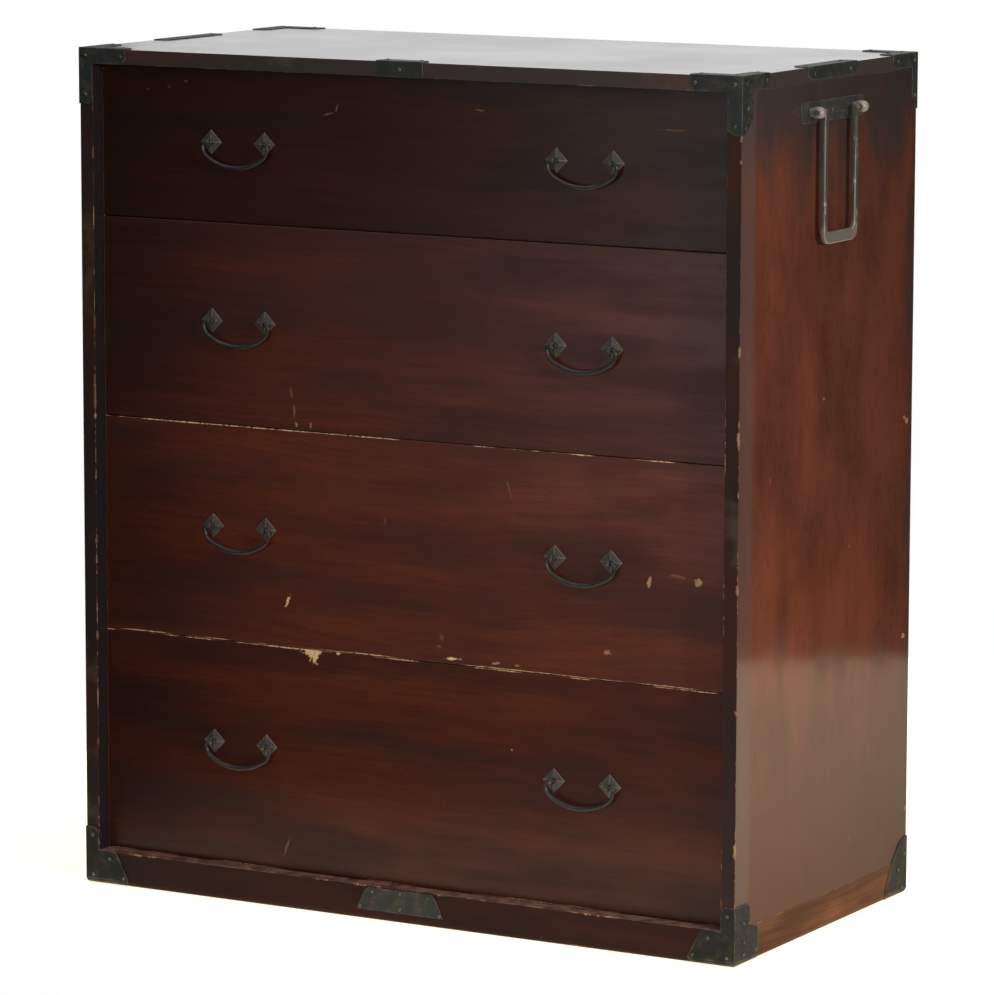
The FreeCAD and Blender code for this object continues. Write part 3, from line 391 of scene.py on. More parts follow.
class Lacquer(Finish):
    """The lacquer of one board, with the patterns that its layers share."""

    def __init__(self, name, node, run, shift):
        super().__init__(name)
        self.run, self.shift = run, shift
        self.low, self.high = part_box(node)
        self.x, self.y, self.z = self.parts(self.spot)
        self.behind = self.calc("SUBTRACT", self.y, self.low.y)
        self.broad, self.narrow, self.pores = self.grained(run, shift)
        self.drifts = self.cloud(DRIFT_SCALE[run], 3.0, 0.6, at=(shift, 1, 2))
        self.fine = self.cloud((300, 300, 300), 3.0, 0.6, at=(1, shift, 1))
        self.rag = self.cloud((55, 55, 55), 4.0, 0.7, at=(shift, 5, shift))

    def figured(self, tone, dark, smoke):
        """Grain in two colours, with smoky drifts, pores and a fine grit."""
        share = STREAK_SHARE[self.run]
        bands = self.calc("MULTIPLY", self.fade(self.broad, 0.34, 0.66), 1.0 - share)
        figure = self.calc("MULTIPLY_ADD", self.fade(self.narrow, 0.30, 0.72), share, bands)
        paint = self.blend(figure, dark, tone)
        paint = self.shaded(paint, self.fade(self.drifts, 0.33, 0.66, smoke, 1.18))
        paint = self.blend(self.fade(self.pores, 0.56, 0.70, 0.0, 0.38), paint, PORE_BLACK)
        return self.blend(self.fade(self.fine, 0.62, 0.72, 0.0, 0.35), paint, GRIT_BLACK)

    def shaded_left_quarter(self, paint, left_shade):
        """Painted shade that darkens the left quarter."""
        soot_and_shade = self.calc("MULTIPLY_ADD", self.broad, 0.10, self.calc("SUBTRACT", self.x, 0.05))
        return self.shaded(paint, self.fade(soot_and_shade, -0.43, -0.15, left_shade, 1.0))

    def glowing(self, paint, level, reach, strength):
        """A redder band at a level, or else along the lower edge."""
        if level is None:
            level = self.low.z
        away = self.calc("ABSOLUTE", self.calc("SUBTRACT", self.z, level))
        away = self.calc("MULTIPLY_ADD", self.broad, reach * 0.5, away)
        return self.shaded(paint, self.fade(away, reach * 0.6, reach * 1.5, strength, 1.0))

    def grimy(self, paint, dark, grime):
        """Grime that creeps in from the edges."""
        edge = self.edge_distance(self.low, self.high)
        near = self.calc("MULTIPLY_ADD", self.rag, grime * 1.4, edge)
        return self.blend(self.fade(near, grime * 0.35, grime * 1.9, 0.75, 0.0), paint, dark)

    def soot_and_shade(self, paint, soot):
        """Soot under a side's top and along its rear edge, the side darker and cooler high up, and
        painted shade: a darker, browner foot and a darker rear.
        """
        low, high = self.low, self.high
        cloudy = self.cloud((16, 16, 6), 4.0, 0.65, at=(4, self.shift, 9))
        drift = self.calc("MULTIPLY_ADD", cloudy, 0.36, -0.18)
        under = self.calc("ADD", self.calc("SUBTRACT", high.z, self.z), drift)
        rear = self.calc("MULTIPLY_ADD", drift, 0.3, self.calc("SUBTRACT", high.y, self.y))
        rear = self.calc("MULTIPLY_ADD", rear, 3.0, 0.075)
        near = self.fade(self.calc("MINIMUM", under, rear), 0.01, 0.17, 0.95, 0.0)
        paint = self.blend(near, paint, soot)
        # painted shade: the foot drawn darker and browner towards the floor
        foot = self.calc("MULTIPLY_ADD", drift, 0.4, self.z)
        paint = self.blend(self.fade(foot, 0.12, 0.34, 0.75, 0.0), paint, FOOT_SHADE_BROWN)
        upper = self.blend(self.fade(self.z, 0.40, 0.52), WHITE, UPPER_SHADE)
        paint = self.blend(1.0, paint, upper, "MULTIPLY")
        # painted shade: darker towards the rear
        return self.shaded(paint, self.fade(self.y, low.y * 0.6, high.y, 1.02, 0.70))

    def dull_strip(self, paint, depth):
        """A duller band behind the front edge."""
        ragged = self.calc("MULTIPLY_ADD", self.rag, 7 * MM, self.behind)
        dull = self.fade(ragged, depth * 0.85, depth * 1.3, 0.62, 0.0)
        return self.blend(dull, paint, STRIP_BROWN)

    def dark_ends(self, paint, end_tone):
        """The board's two ends along X."""
        middle = (self.low.x + self.high.x) / 2
        half = self.high.x - middle
        out = self.calc("ABSOLUTE", self.calc("SUBTRACT", self.x, middle))
        return self.blend(self.fade(out, half - 1.5 * MM, half - 0.2 * MM), paint, end_tone)

    def at_front(self, amount):
        """An amount that holds on the board's front edge only."""
        return self.fade(self.behind, 0.2 * MM, 1.4 * MM, amount, 0.0)

    def front_edge(self, paint, edge_tone):
        """The front edge in its own colour, redder in drifts and faded in patches."""
        red = (2.0 * edge_tone[0], edge_tone[1], 0.8 * edge_tone[2])
        streaky = self.blend(self.fade(self.drifts, 0.42, 0.62), edge_tone, red)
        patches = self.cloud((7, 7, 7), 4.0, 0.7, at=(6, self.shift, 2))
        streaky = self.blend(self.fade(patches, 0.57, 0.68, 0.0, 0.6), streaky, FADED_EDGE)
        return self.blend(self.at_front(1.0), paint, streaky)

    def lined(self, paint, edge_tone, inner):
        """The inner side: lacquered before the drawer fronts and bare wood behind them."""
        inward = self.calc("SUBTRACT", self.calc("ABSOLUTE", self.x),
                           min(abs(self.low.x), abs(self.high.x)))
        inside = self.fade(inward, 0.2 * MM, 0.6 * MM, 1.0, 0.0)
        lining = self.blend(self.fade(self.behind, *LINING_STARTS), edge_tone, inner)
        return self.blend(inside, paint, lining)

    def dusty(self, paint, dust):
        """Dust on the board's top face."""
        upper = self.fade(self.z, self.high.z - 1.0 * MM, self.high.z - 0.2 * MM)
        patchy = self.fade(self.rag, 0.36, 0.60, 0.25, 1.0)
        return self.blend(self.calc("MULTIPLY", upper, patchy), paint, dust)

    def bared_and_highlit(self, wear, unbroken, chips):
        """How bare the wood is, from worn edges, which are partly a painted highlight along the
        arrises, measured chips and old hair scratches.
        """
        patches = self.fade(self.cloud((9, 9, 9), 3.0, 0.6, at=(2, self.shift, 7)), 0.40, 0.66)
        width = self.calc("MULTIPLY", wear, self.calc("MULTIPLY_ADD", patches, 1.1, 0.10))
        # the worn arris: wear drawn pale, partly as painted highlight along the edges
        arris = self.edge_distance(self.low, self.high, self.run)
        bare = self.fade(self.calc("DIVIDE", arris, width), 0.55, 1.25, 1.0, 0.0)
        bare = self.calc("MULTIPLY", bare, self.fade(self.fine, 0.34, 0.52))
        if not unbroken:
            bare = self.calc("MULTIPLY", bare, self.fade(self.rag, 0.48, 0.58, 0.06, 1.0))
        for at, size, turn, depth in chips:
            chip = self.calc("MULTIPLY", self.chip(at, size, turn), depth)
            bare = self.calc("MAXIMUM", bare, chip)
        hairs = self.cloud((26, 300, 900), 1.0, 0.5, at=(0, self.shift, 3), turn=(0, 0.5, 0))
        hairs = self.calc("MULTIPLY", self.fade(hairs, 0.74, 0.80),
                          self.fade(self.rag, 0.52, 0.62, 0.0, 0.22))
        return self.calc("MAXIMUM", bare, hairs)

    def scraped(self, paint, bare, worn):
        """Lacquer that thins round the bare places, and the wood in them."""
        deep = [0.72 * part for part in worn]
        wood = self.blend(self.fade(self.fine, 0.35, 0.65), deep, worn)
        thin = self.blend(self.fade(bare, 0.0, 0.5), paint, THIN_LACQUER)
        return self.blend(self.fade(bare, 0.25, 0.95), thin, wood)

    def roughened(self, gloss, bare, at_foot, at_front):
        """Roughness: glossy in drifts, and duller where bare, low down and in front."""
        rough = self.fade(self.drifts, 0.33, 0.66, gloss[1], gloss[0])
        rough = self.calc("MAXIMUM", rough, self.calc("MULTIPLY", bare, 0.75))
        if at_foot:
            rough = self.calc("MAXIMUM", rough, self.fade(self.z, 0.03, 0.40, 0.42, 0.0))
        if at_front:
            rough = self.calc("MAXIMUM", rough, self.at_front(0.45))
        return rough

    def uneven(self, bare, waves):
        """Grain, slow waves and sunken bare places, as relief."""
        height = self.calc("MULTIPLY_ADD", self.narrow, 0.6, self.calc("MULTIPLY", self.pores, 0.4))
        normal = self.relief(height, 0.12 * MM, 0.6)
        normal = self.relief(self.cloud((4, 4, 4), 2.0, at=(self.shift, 0, 0)), waves, 0.5, normal)
        return self.relief(self.calc("MULTIPLY", bare, -1.0), 0.25 * MM, 0.8, normal)


def lacquer(name, node, run, tone, dark, shift, wear, worn, gloss, edge_tone=None,
            grime=0.02, chips=(), specular=0.5, strip=None, left_shade=None, inner=None,
            density=1.5, waves=1.2 * MM, stained=None, smoke=0.55, unbroken=False,
            end_tone=None, glow=None, ledge=None, tint=WHITE):
    """Lacquered wood with bands of grain, smoke, grime, scratches, painted shade, and worn edges
    that are partly painted highlight.

    gloss holds the lowest and highest roughness; edge_tone colours the board's duller front
    edge; strip is the depth of a duller band behind that edge; left_shade is how far painted
    shade darkens the left quarter; inner is the unlacquered inner side's wood; density is the
    lacquer's index of refraction; waves is the height of its unevenness; stained colours the soot
    of a side and also brings the side's painted shade at its foot and rear; smoke is the
    brightness of the darkest bands; unbroken says that the wear runs along the whole edge;
    end_tone colours a board's ends; glow is the level, reach and strength of a redder band;
    ledge colours a board's dusty top face; tint colours its reflections."""
    skin = Lacquer(name, node, run, shift)
    paint = skin.figured(tone, dark, smoke)
    # painted shade over the left quarter
    if left_shade:
        paint = skin.shaded_left_quarter(paint, left_shade)
    if glow:
        paint = skin.glowing(paint, *glow)
    paint = skin.grimy(paint, dark, grime)
    # soot, with the side's painted shade at its foot and rear
    if stained:
        paint = skin.soot_and_shade(paint, stained)
    if strip:
        paint = skin.dull_strip(paint, strip)
    if end_tone:
        paint = skin.dark_ends(paint, end_tone)
    if edge_tone:
        paint = skin.front_edge(paint, edge_tone)
    if inner:
        paint = skin.lined(paint, edge_tone, inner)
    if ledge:
        paint = skin.dusty(paint, ledge)
    bare = skin.bared_and_highlit(wear, unbroken, chips)
    return skin.surface(Base_Color=skin.scraped(paint, bare, worn),
                        Roughness=skin.roughened(gloss, bare, stained, edge_tone),
                        Normal=skin.uneven(bare, waves), Specular_IOR_Level=specular,
                        IOR=density, Specular_Tint=(*tint, 1.0))


def bare_wood(name, run, tone, shift, seams=0.0):
    """Planed wood without lacquer; seams is the width of its boards, if it is of several."""
    skin = Finish(name)
    broad, narrow, pores = skin.grained(run, shift)
    bands = skin.calc("MULTIPLY", skin.fade(broad, 0.34, 0.66), 0.5)
    figure = skin.calc("MULTIPLY_ADD", skin.fade(narrow, 0.30, 0.72), 0.5, bands)
    paint = skin.blend(figure, [0.62 * part for part in tone], tone)
    age = skin.fade(skin.cloud((5, 5, 5), 5.0, 0.65, at=(3, shift, 1)), 0.40, 0.75, 0.0, 0.45)
    paint = skin.blend(age, paint, AGED_WOOD)
    paint = skin.blend(skin.fade(pores, 0.60, 0.74, 0.0, 0.4), paint, WOOD_PORES)
    height = skin.calc("MULTIPLY_ADD", narrow, 0.7, skin.calc("MULTIPLY", pores, 0.3))
    normal = skin.relief(height, 0.2 * MM, 0.7)
    if seams:
        across = skin.parts(skin.spot)[0]
        pitch = skin.calc("PINGPONG", across, seams / 2)
        gap = skin.fade(pitch, 0.3 * MM, 1.0 * MM, 1.0, 0.0)
        paint = skin.blend(gap, paint, GAP_BLACK)
        normal = skin.relief(skin.calc("MULTIPLY", gap, -1.0), 0.8 * MM, 1.0, normal)
    return skin.surface(Base_Color=paint, Roughness=skin.fade(narrow, 0.3, 0.7, 0.62, 0.82),
                        Normal=normal, Specular_IOR_Level=0.3)


def iron(name, tone, rust, bright, metallic=0.45, gloss=(0.38, 0.70), rub_share=0.7,
         speck=0.35, hammer=0.25 * MM, use_mark=True, specular=0.5):
    """Forged or sheet iron, mottled with rust, its marked edges rubbed bright."""
    skin = Finish(name)
    cloudy = skin.cloud((60, 60, 60), 5.0, 0.7)
    fine = skin.cloud((420, 420, 420), 4.0, 0.65, at=(3, 1, 4))
    rusty = skin.calc("MULTIPLY", skin.fade(cloudy, 0.44, 0.68), skin.fade(fine, 0.35, 0.62))
    paint = skin.blend(skin.fade(fine, 0.3, 0.7), [0.55 * part for part in tone],
                       [1.35 * part for part in tone])
    paint = skin.blend(rusty, paint, rust)
    specks = skin.fade(skin.cloud((700, 700, 700), 2.0, 0.5, at=(9, 2, 5)), 0.60, 0.70, 0.0, speck)
    paint = skin.blend(specks, paint, bright)
    if use_mark:
        mark = skin.add("ShaderNodeAttribute", attribute_name="rubbed").outputs["Fac"]
        worn = skin.calc("MULTIPLY", mark, skin.fade(cloudy, 0.36, 0.60, 0.15, 1.0))
        worn = skin.calc("MULTIPLY", worn, skin.fade(fine, 0.30, 0.55, 0.3, 1.0))
        paint = skin.blend(skin.calc("MULTIPLY", worn, rub_share), paint, bright)
    rough = skin.fade(fine, 0.3, 0.7, gloss[0], gloss[1])
    normal = skin.relief(skin.cloud((190, 190, 190), 2.0, 0.5, at=(1, 7, 2)), hammer, 0.8)
    normal = skin.relief(fine, 0.12 * MM, 0.7, normal)
    return skin.surface(Base_Color=paint, Roughness=rough, Normal=normal, Metallic=metallic,
                        Specular_IOR_Level=specular)


# Measured places of chips and scratches, in millimetres

def on_front(node, marks):
    """Marks on a front: middle (x, z), half-sizes along X and Z, turn about Y, depth."""
    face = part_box(node)[0].y
    return [((x * MM, face, z * MM), (half_x * MM, 1.0, half_z * MM), (0, turn, 0), depth)
            for x, z, half_x, half_z, turn, depth in marks]


MARKS = {
    1: ((97, 978, 9, 1.6, 0.1, 0.32), (-365, 985, 2.4, 2.0, 0.0, 0.22),
        (-335, 989, 2.4, 1.8, 0.0, 0.22), (-310, 996, 3.4, 2.0, 0.0, 0.28),
        (-110, 965, 9, 1.6, -0.2, 0.28), (-98, 974, 1.8, 6, 0.2, 0.32),
        (352, 966, 24, 1.6, 0.0, 0.22)),
    2: ((-163, 628, 2.0, 8, -0.2, 0.32), (-159, 606, 1.8, 9, -0.1, 0.36),
        (-156, 590, 2.4, 4, 0.0, 0.5), (-136, 590, 2.0, 5, 0.2, 0.42)),
    3: ((-169, 375, 2.6, 10, 0.35, 0.9), (325, 440, 3.2, 9, 0.25, 0.55),
        (389, 445, 6, 7, 0.5, 0.6), (138, 533, 1.6, 14, -0.3, 0.3),
        (270, 352, 5, 4, 0.3, 0.45), (362, 450, 13, 2.0, 0.1, 0.3), (62, 325, 12, 2.4, 0.0, 0.9),
        (-32, 482, 2.8, 6, 0.0, 0.22), (120, 325, 7, 1.8, 0.0, 0.5), (148, 325, 5, 1.8, 0.0, 0.4),
        (46, 350, 4, 4, 0.0, 0.3), (42, 338, 5, 3, 0.0, 0.3)),
    4: ((-136, 317, 17, 8, 0.0, 1.0), (-131, 310, 9, 9, 0.4, 1.0), (-98, 319, 5, 5, 0.0, 0.9),
        (-84, 320, 8, 3.4, 0.0, 0.8), (55, 322, 13, 3.6, 0.0, 0.9), (-50, 323, 50, 2.2, 0.0, 0.7),
        (170, 323, 40, 2.0, 0.0, 0.5), (-172, 70, 2.0, 14, 0.35, 0.3),
        (142, 223, 1.8, 1.8, 0.0, 0.5)),
}
CORNER_CHIPS = ((961, 6, 0.6), (935, 4, 0.5), (720, 9, 0.8), (616, 13, 0.9), (443, 7, 0.7),
                (300, 5, 0.6), (138, 12, 0.9))
SIDE_CHIPS = ((215, 588, 6, 4.0, 0.7), (208, 592, 4, 3.0, 0.6), (214, 322, 5, 3.5, 0.6),
              (226, 106, 4, 4, 0.6), (60, 455, 2.5, 3.5, 0.35), (-12, 640, 2.4, 3, 0.4),
              (-150, 560, 3, 8, 0.25), (70, 95, 2, 6, 0.3))
STILE_CHIPS = ((906, 9, 0.3), (700, 14, 0.3), (612, 34, 0.45), (584, 6, 0.8), (430, 8, 0.4),
               (312, 7, 0.5), (180, 9, 0.3))
FLAT = (0, 0, 0)


def on_side(node):
    """Marks on a side board: on the right one's outer face, on the left one's front edge."""
    low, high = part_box(node)
    if high.x < 0:
        return [((high.x, low.y, level * MM), (2.6 * MM, 2.6 * MM, half * MM), FLAT, depth)
                for level, half, depth in STILE_CHIPS]
    corner = [((high.x, low.y, level * MM), (2.8 * MM, 2.8 * MM, half * MM), FLAT, depth)
              for level, half, depth in CORNER_CHIPS]
    face = [((high.x, along * MM, level * MM), (1.0, half_y * MM, half_z * MM), FLAT, depth)
            for along, level, half_y, half_z, depth in SIDE_CHIPS]
    return corner + face


# Pieces

SOOT = (0.034, 0.025, 0.021)
SIDE_SHEEN = (0.92, 0.56, 0.30)
TOP_EDGE = (0.019, 0.0085, 0.0060)
RAIL_BROWN = (0.185, 0.060, 0.014)
RAIL_DUST = (0.150, 0.078, 0.058)
FRONT_RAIL_SHADE = 0.36  # of the drawer fronts' lacquer
SIDE_GLOSS, TOP_GLOSS = (0.08, 0.15), (0.235, 0.265)  # lowest and highest roughness
RAIL_GLOSS, FRONT_GLOSS = (0.40, 0.55), (0.26, 0.38)
BACK_BOARD_WIDTH = 0.216
FRONT_GREY = (0.030, 0.017, 0.015)
FRONT_LOOKS = {  # strength of the red, grey, painted shade at the left, mirror, darkest band, wear
    1: (0.34, 0.05, 0.55, 0.24, 0.55, 0.2), 2: (0.84, 0.14, 0.36, 0.3, 0.66, 0.2),
    3: (1.22, 0.07, 0.40, 0.3, 0.62, 0.9), 4: (0.72, 0.12, 0.58, 0.20, 0.50, 0.9)}
FRONT_ARRIS = 0.35 * MM
GRAIN_STEP = 13.7  # sets the four fronts' grain apart
NAIL_RUB = 0.6  # how far the nail heads are rubbed bright
BAIL_RUST = (0.050, 0.040, 0.034)
PLATE_BROWN, PLATE_RUST = (0.024, 0.022, 0.019), (0.045, 0.036, 0.028)
GLOWS = {2: (None, 0.10, 1.25), 4: (0.318, 0.055, 1.5)}  # level, reach, strength


class CHEST_OT_case(bpy.types.Operator):
    """Give the case's lacquered boards their worn edges and finish"""
    bl_idname = "chest.case"
    bl_label = "Case boards"

    def execute(self, context):
        lacquers, wear = context.scene.chest_lacquer, context.scene.chest_wear
        worn = lacquers.worn_tone
        dull = [0.45 * part for part in worn]
        for side, shift in (("left", 11.3), ("right", 4.7)):
            node = f"{side}_side_board"
            finish = lacquer(f"{side}_side_lacquer", node, "Z", lacquers.side_tone,
                             lacquers.side_dark, shift, wear.board_wear * 0.7, dull,
                             SIDE_GLOSS, edge_tone=lacquers.stile_tone, grime=0.022,
                             chips=on_side(node), strip=36 * MM, inner=lacquers.bare_tone,
                             density=1.29, stained=SOOT, smoke=0.78, tint=SIDE_SHEEN)
            worn_copy(node, finish, "case", wear.board_arris * 0.3)
        finish = lacquer("top_lacquer", "top_board", "X", lacquers.top_tone, lacquers.side_dark,
                         2.9, wear.board_wear * 0.5, dull, TOP_GLOSS, edge_tone=TOP_EDGE,
                         waves=0.2 * MM, end_tone=SOOT)
        worn_copy("top_board", finish, "case", wear.board_arris * 0.2)
        front_tone = Vector(lacquers.drawer_tone) * FRONT_RAIL_SHADE
        front_dark = Vector(lacquers.drawer_dark) * FRONT_RAIL_SHADE
        side_tone = Vector(RAIL_BROWN)
        side_dark = side_tone * 0.4
        # the front rail's left quarter is darkened with painted shade
        for node, run, shift, tone, dark, reach, mirror, left_shade, ledge in (
                ("base_front_rail", "X", 6.1, front_tone, front_dark, 1.3, 0.12, 0.25, RAIL_DUST),
                ("base_side_rails", "Y", 8.4, side_tone, side_dark, 0.4, 0.08, None, None),
                ("base_back_rail", "X", 9.2, side_tone, side_dark, 1.3, 0.15, None, None)):
            finish = lacquer(f"{node}_lacquer", node, run, tone, dark, shift,
                             wear.board_wear * reach, dull, RAIL_GLOSS, grime=0.012,
                             left_shade=left_shade, specular=mirror, ledge=ledge)
            worn_copy(node, finish, "case", wear.board_arris)
        return {"FINISHED"}


class CHEST_OT_inside(bpy.types.Operator):
    """Give the bare boards inside and behind the case their wood"""
    bl_idname = "chest.inside"
    bl_label = "Inside boards"

    def execute(self, context):
        tone = context.scene.chest_lacquer.bare_tone
        along = bare_wood("plain_wood_along", "X", tone, 1.7)
        refinish("back_panel", bare_wood("back_panel_wood", "Z", tone, 5.2,
                                         seams=BACK_BOARD_WIDTH))
        refinish("bottom_board", along)
        for number in (1, 2, 3):
            refinish(f"shelf_rail_{number}", along)
            refinish(f"dust_board_{number}", along)
        return {"FINISHED"}


class CHEST_OT_drawer_fronts(bpy.types.Operator):
    """Give the four drawer fronts their lacquer, seams, chips and scratches"""
    bl_idname = "chest.drawer_fronts"
    bl_label = "Drawer fronts"

    def execute(self, context):
        lacquers, wear = context.scene.chest_lacquer, context.scene.chest_wear
        grey = Vector(FRONT_GREY)
        for number in DRAWERS:
            node = f"drawer_{number}_front"
            strength, greyed, left_shade, mirror, smoke, worn = FRONT_LOOKS[number]
            tone = (Vector(lacquers.drawer_tone) * strength).lerp(grey, greyed)
            dark = (Vector(lacquers.drawer_dark) * strength).lerp(grey * 0.6, greyed)
            finish = lacquer(f"drawer_{number}_lacquer", node, "X", tone, dark,
                             GRAIN_STEP * number, wear.board_wear * worn, lacquers.worn_tone,
                             FRONT_GLOSS, grime=0.012, left_shade=left_shade,
                             chips=on_front(node, MARKS[number]), specular=mirror,
                             smoke=smoke, unbroken=number > 2, glow=GLOWS.get(number))
            worn_copy(node, finish, f"drawer_{number}", FRONT_ARRIS)
        return {"FINISHED"}


class CHEST_OT_drawer_boxes(bpy.types.Operator):
    """Give the drawer boxes their planed wood"""
    bl_idname = "chest.drawer_boxes"
    bl_label = "Drawer boxes"

    def execute(self, context):
        tone = context.scene.chest_lacquer.bare_tone
        deep = bare_wood("plain_wood_deep", "Y", tone, 4.4)
        across = bare_wood("plain_wood_across", "X", tone, 7.9)
        for number in DRAWERS:
            refinish(f"drawer_{number}_left_side", deep)
            refinish(f"drawer_{number}_right_side", deep)
            refinish(f"drawer_{number}_back", across)
            refinish(f"drawer_{number}_bottom", across)
        return {"FINISHED"}


class CHEST_OT_drawer_handles(bpy.types.Operator):
    """Forge the rosettes, the eye posts and the bails of the drawers"""
    bl_idname = "chest.drawer_handles"
    bl_label = "Drawer handles"

    def execute(self, context):
        irons, wear = context.scene.chest_iron, context.scene.chest_wear
        plate = iron("rosette_iron", irons.rosette_tone, irons.rust_tone, irons.rubbed_tone,
                     speck=0.6, hammer=0.6 * MM, rub_share=0.75)
        ring = iron("eye_iron", irons.rosette_tone, irons.rust_tone, irons.rubbed_tone,
                    gloss=(0.30, 0.55), speck=0.3, rub_share=0.5)
        bar = iron("bail_iron", irons.bail_tone, BAIL_RUST, irons.rubbed_tone,
                   gloss=(0.30, 0.50), speck=0.12, use_mark=False)
        for number in DRAWERS:
            body = f"drawer_{number}"
            worn_copy(f"{body}_rosettes", plate, body, 0.35 * MM, 2, 12, 0.7 * MM)
            worn_copy(f"{body}_eye_posts", ring, body, 0.55 * MM, 3, 22)
            for side in SIDES:
                forged_bail(f"{body}_{side}_bail", bar)
        return {"FINISHED"}


FORGED_SWELL = 0.15 * MM  # what the smoothing would take off the bar


def forged_bail(node, material):
    """A drawer bail, smoothed from the hammered facets of its CAD bar."""
    form = bmesh.new()
    form.from_mesh(frame["nodes"][node].data)
    bmesh.ops.remove_doubles(form, verts=form.verts, dist=MERGE_DISTANCE)
    bmesh.ops.join_triangles(form, faces=form.faces, angle_face_threshold=math.radians(40),
                             angle_shape_threshold=math.radians(100))
    form.normal_update()
    for vert in form.verts:
        vert.co += vert.normal * FORGED_SWELL
    smooth_faces(form)
    made = piece(form, f"{node}_forged", material, node, node)
    smooth = made.modifiers.new("Smooth", "SUBSURF")
    smooth.levels = smooth.render_levels = 2
    return made


def frame_joint(name):
    """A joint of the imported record, by name."""
    for joint in frame["record"]["behaviour"]["joints"]:
        if joint["name"] == name:
            return joint
    raise RuntimeError(f"the frame has no joint {name}")


class CHEST_OT_irons(bpy.types.Operator):
    """Give the corner irons and edge plates their rubbed edges"""
    bl_idname = "chest.irons"
    bl_label = "Iron fittings"

    def execute(self, context):
        irons, wear = context.scene.chest_iron, context.scene.chest_wear
        sheet = iron("sheet_iron_finish", irons.sheet_tone, irons.rust_tone, irons.rubbed_tone,
                     metallic=0.35, gloss=(0.42, 0.72), speck=0.10, rub_share=0.40)
        # the base corner irons get a darker copy of the sheet iron: painted shade against the
        # floor's light on them
        foot = iron("foot_iron_finish", [0.45 * part for part in irons.sheet_tone],
                    [0.7 * part for part in irons.rust_tone], irons.rubbed_tone, metallic=0.2,
                    gloss=(0.50, 0.75), speck=0.08, rub_share=0.5, specular=0.25)
        worn_sheet = iron("pole_plate_finish", PLATE_BROWN, PLATE_RUST, irons.rubbed_tone,
                          metallic=0.25, gloss=(0.42, 0.72), speck=0.15, rub_share=0.35)
        for node, finish in (("top_corner_irons", sheet), ("base_corner_irons", foot),
                             ("edge_plates", sheet), ("pole_handle_plates", worn_sheet)):
            worn_copy(node, finish, "case", wear.iron_arris, 2, 25,
                      wear.rubbed_strip)
        return {"FINISHED"}


class CHEST_OT_nails(bpy.types.Operator):
    """Drive a hammered nail at each nail of the frame"""
    bl_idname = "chest.nails"
    bl_label = "Iron nails"

    def execute(self, context):
        irons, wear = context.scene.chest_iron, context.scene.chest_wear
        chance = random.Random(wear.seed)
        form = bmesh.new()
        for spot, normal, radius, crown in nail_places():
            upright = normal.to_track_quat("Z", "Y").to_matrix().to_4x4()
            squash = Matrix.Diagonal((radius * chance.uniform(0.9, 1.08),
                                      radius * chance.uniform(0.9, 1.08), crown, 1.0))
            spin = Matrix.Rotation(chance.uniform(0, math.tau), 4, "Z")
            ball = bmesh.ops.create_icosphere(form, subdivisions=2, radius=1.0)["verts"]
            sharp = Matrix.Rotation(chance.uniform(-0.12, 0.12), 4, "X")
            bmesh.ops.transform(form, matrix=Matrix.Translation(spot) @ upright @ sharp @ spin
                                @ squash, verts=ball)
        smooth_faces(form)
        mark = form.loops.layers.float.new("rubbed")
        for face in form.faces:
            for loop in face.loops:
                loop[mark] = NAIL_RUB
        finish = iron("nail_iron", irons.sheet_tone, irons.rust_tone, irons.rubbed_tone,
                      gloss=(0.35, 0.6), speck=0.3, rub_share=0.9)
        piece(form, "iron_nails_hammered", finish, "case", "iron_nails")
        return {"FINISHED"}


def nail_places():
    """Middle, direction, radius and crown of each nail of the frame's nail node."""
    form = bmesh.new()
    form.from_mesh(frame["nodes"]["iron_nails"].data)
    bmesh.ops.remove_doubles(form, verts=form.verts, dist=MERGE_DISTANCE)
    left = set(form.verts)
    places = []
    while left:
        group, queue = [], [left.pop()]
        while queue:
            vert = queue.pop()
            group.append(vert.co.copy())
            for edge in vert.link_edges:
                other = edge.other_vert(vert)
                if other in left:
                    left.remove(other)
                    queue.append(other)
        low = Vector(min(spot[axis] for spot in group) for axis in range(3))
        high = Vector(max(spot[axis] for spot in group) for axis in range(3))
        size = high - low
        axis = min(range(3), key=lambda count: size[count])
        middle = (low + high) / 2
        normal = Vector((0, 0, 0))
        halfway = CASE_HIGH.z / 2 if axis == 2 else 0.0
        normal[axis] = 1.0 if middle[axis] > halfway else -1.0
        foot = middle - normal * (size[axis] / 2)
        radius = sorted(size)[1] / 2
        places.append((foot, normal, radius, size[axis]))
    form.free()
    if not places:
        raise RuntimeError("the frame's nail node holds no nails")
    return sorted(places, key=lambda place: tuple(round(part, 5) for part in place[0]))


KNOB_PROFILE = (  # distance out from the plate and radius, in millimetres
    (0.0, 0.0), (0.0, 5.6), (1.2, 5.3), (3.0, 5.9), (5.5, 6.7), (8.5, 7.1), (11.5, 7.0),
    (14.5, 6.2), (16.8, 4.6), (18.2, 2.4), (18.6, 0.0))
POST_SPACING = 113 * MM
SHANK_SIDE = 5.4 * MM
PIN_BORE = 3.55 * MM
KNOB_RUST = (0.15, 0.11, 0.075)
HANDLED_BRIGHT = (0.34, 0.29, 0.23)
OLIVE_RUST = (0.075, 0.066, 0.040)


class CHEST_OT_pole_handles(bpy.types.Operator):
    """Forge the posts and the long bails of the pole handles"""
    bl_idname = "chest.pole_handles"
    bl_label = "Pole handles"

    def execute(self, context):
        irons = context.scene.chest_iron
        knob = iron("knob_iron", Vector(irons.pole_tone) * 2.6, KNOB_RUST, HANDLED_BRIGHT,
                    gloss=(0.38, 0.60), speck=0.5, use_mark=False, hammer=0.8 * MM, metallic=0.3)
        bar = pole_iron("pole_iron_finish", irons.pole_tone, HANDLED_BRIGHT)
        carry_posts(knob)
        for side in SIDES:
            worn_copy(f"{side}_pole_bail", bar, f"{side}_pole_bail", 0.8 * MM, 3,
                      20)
        return {"FINISHED"}


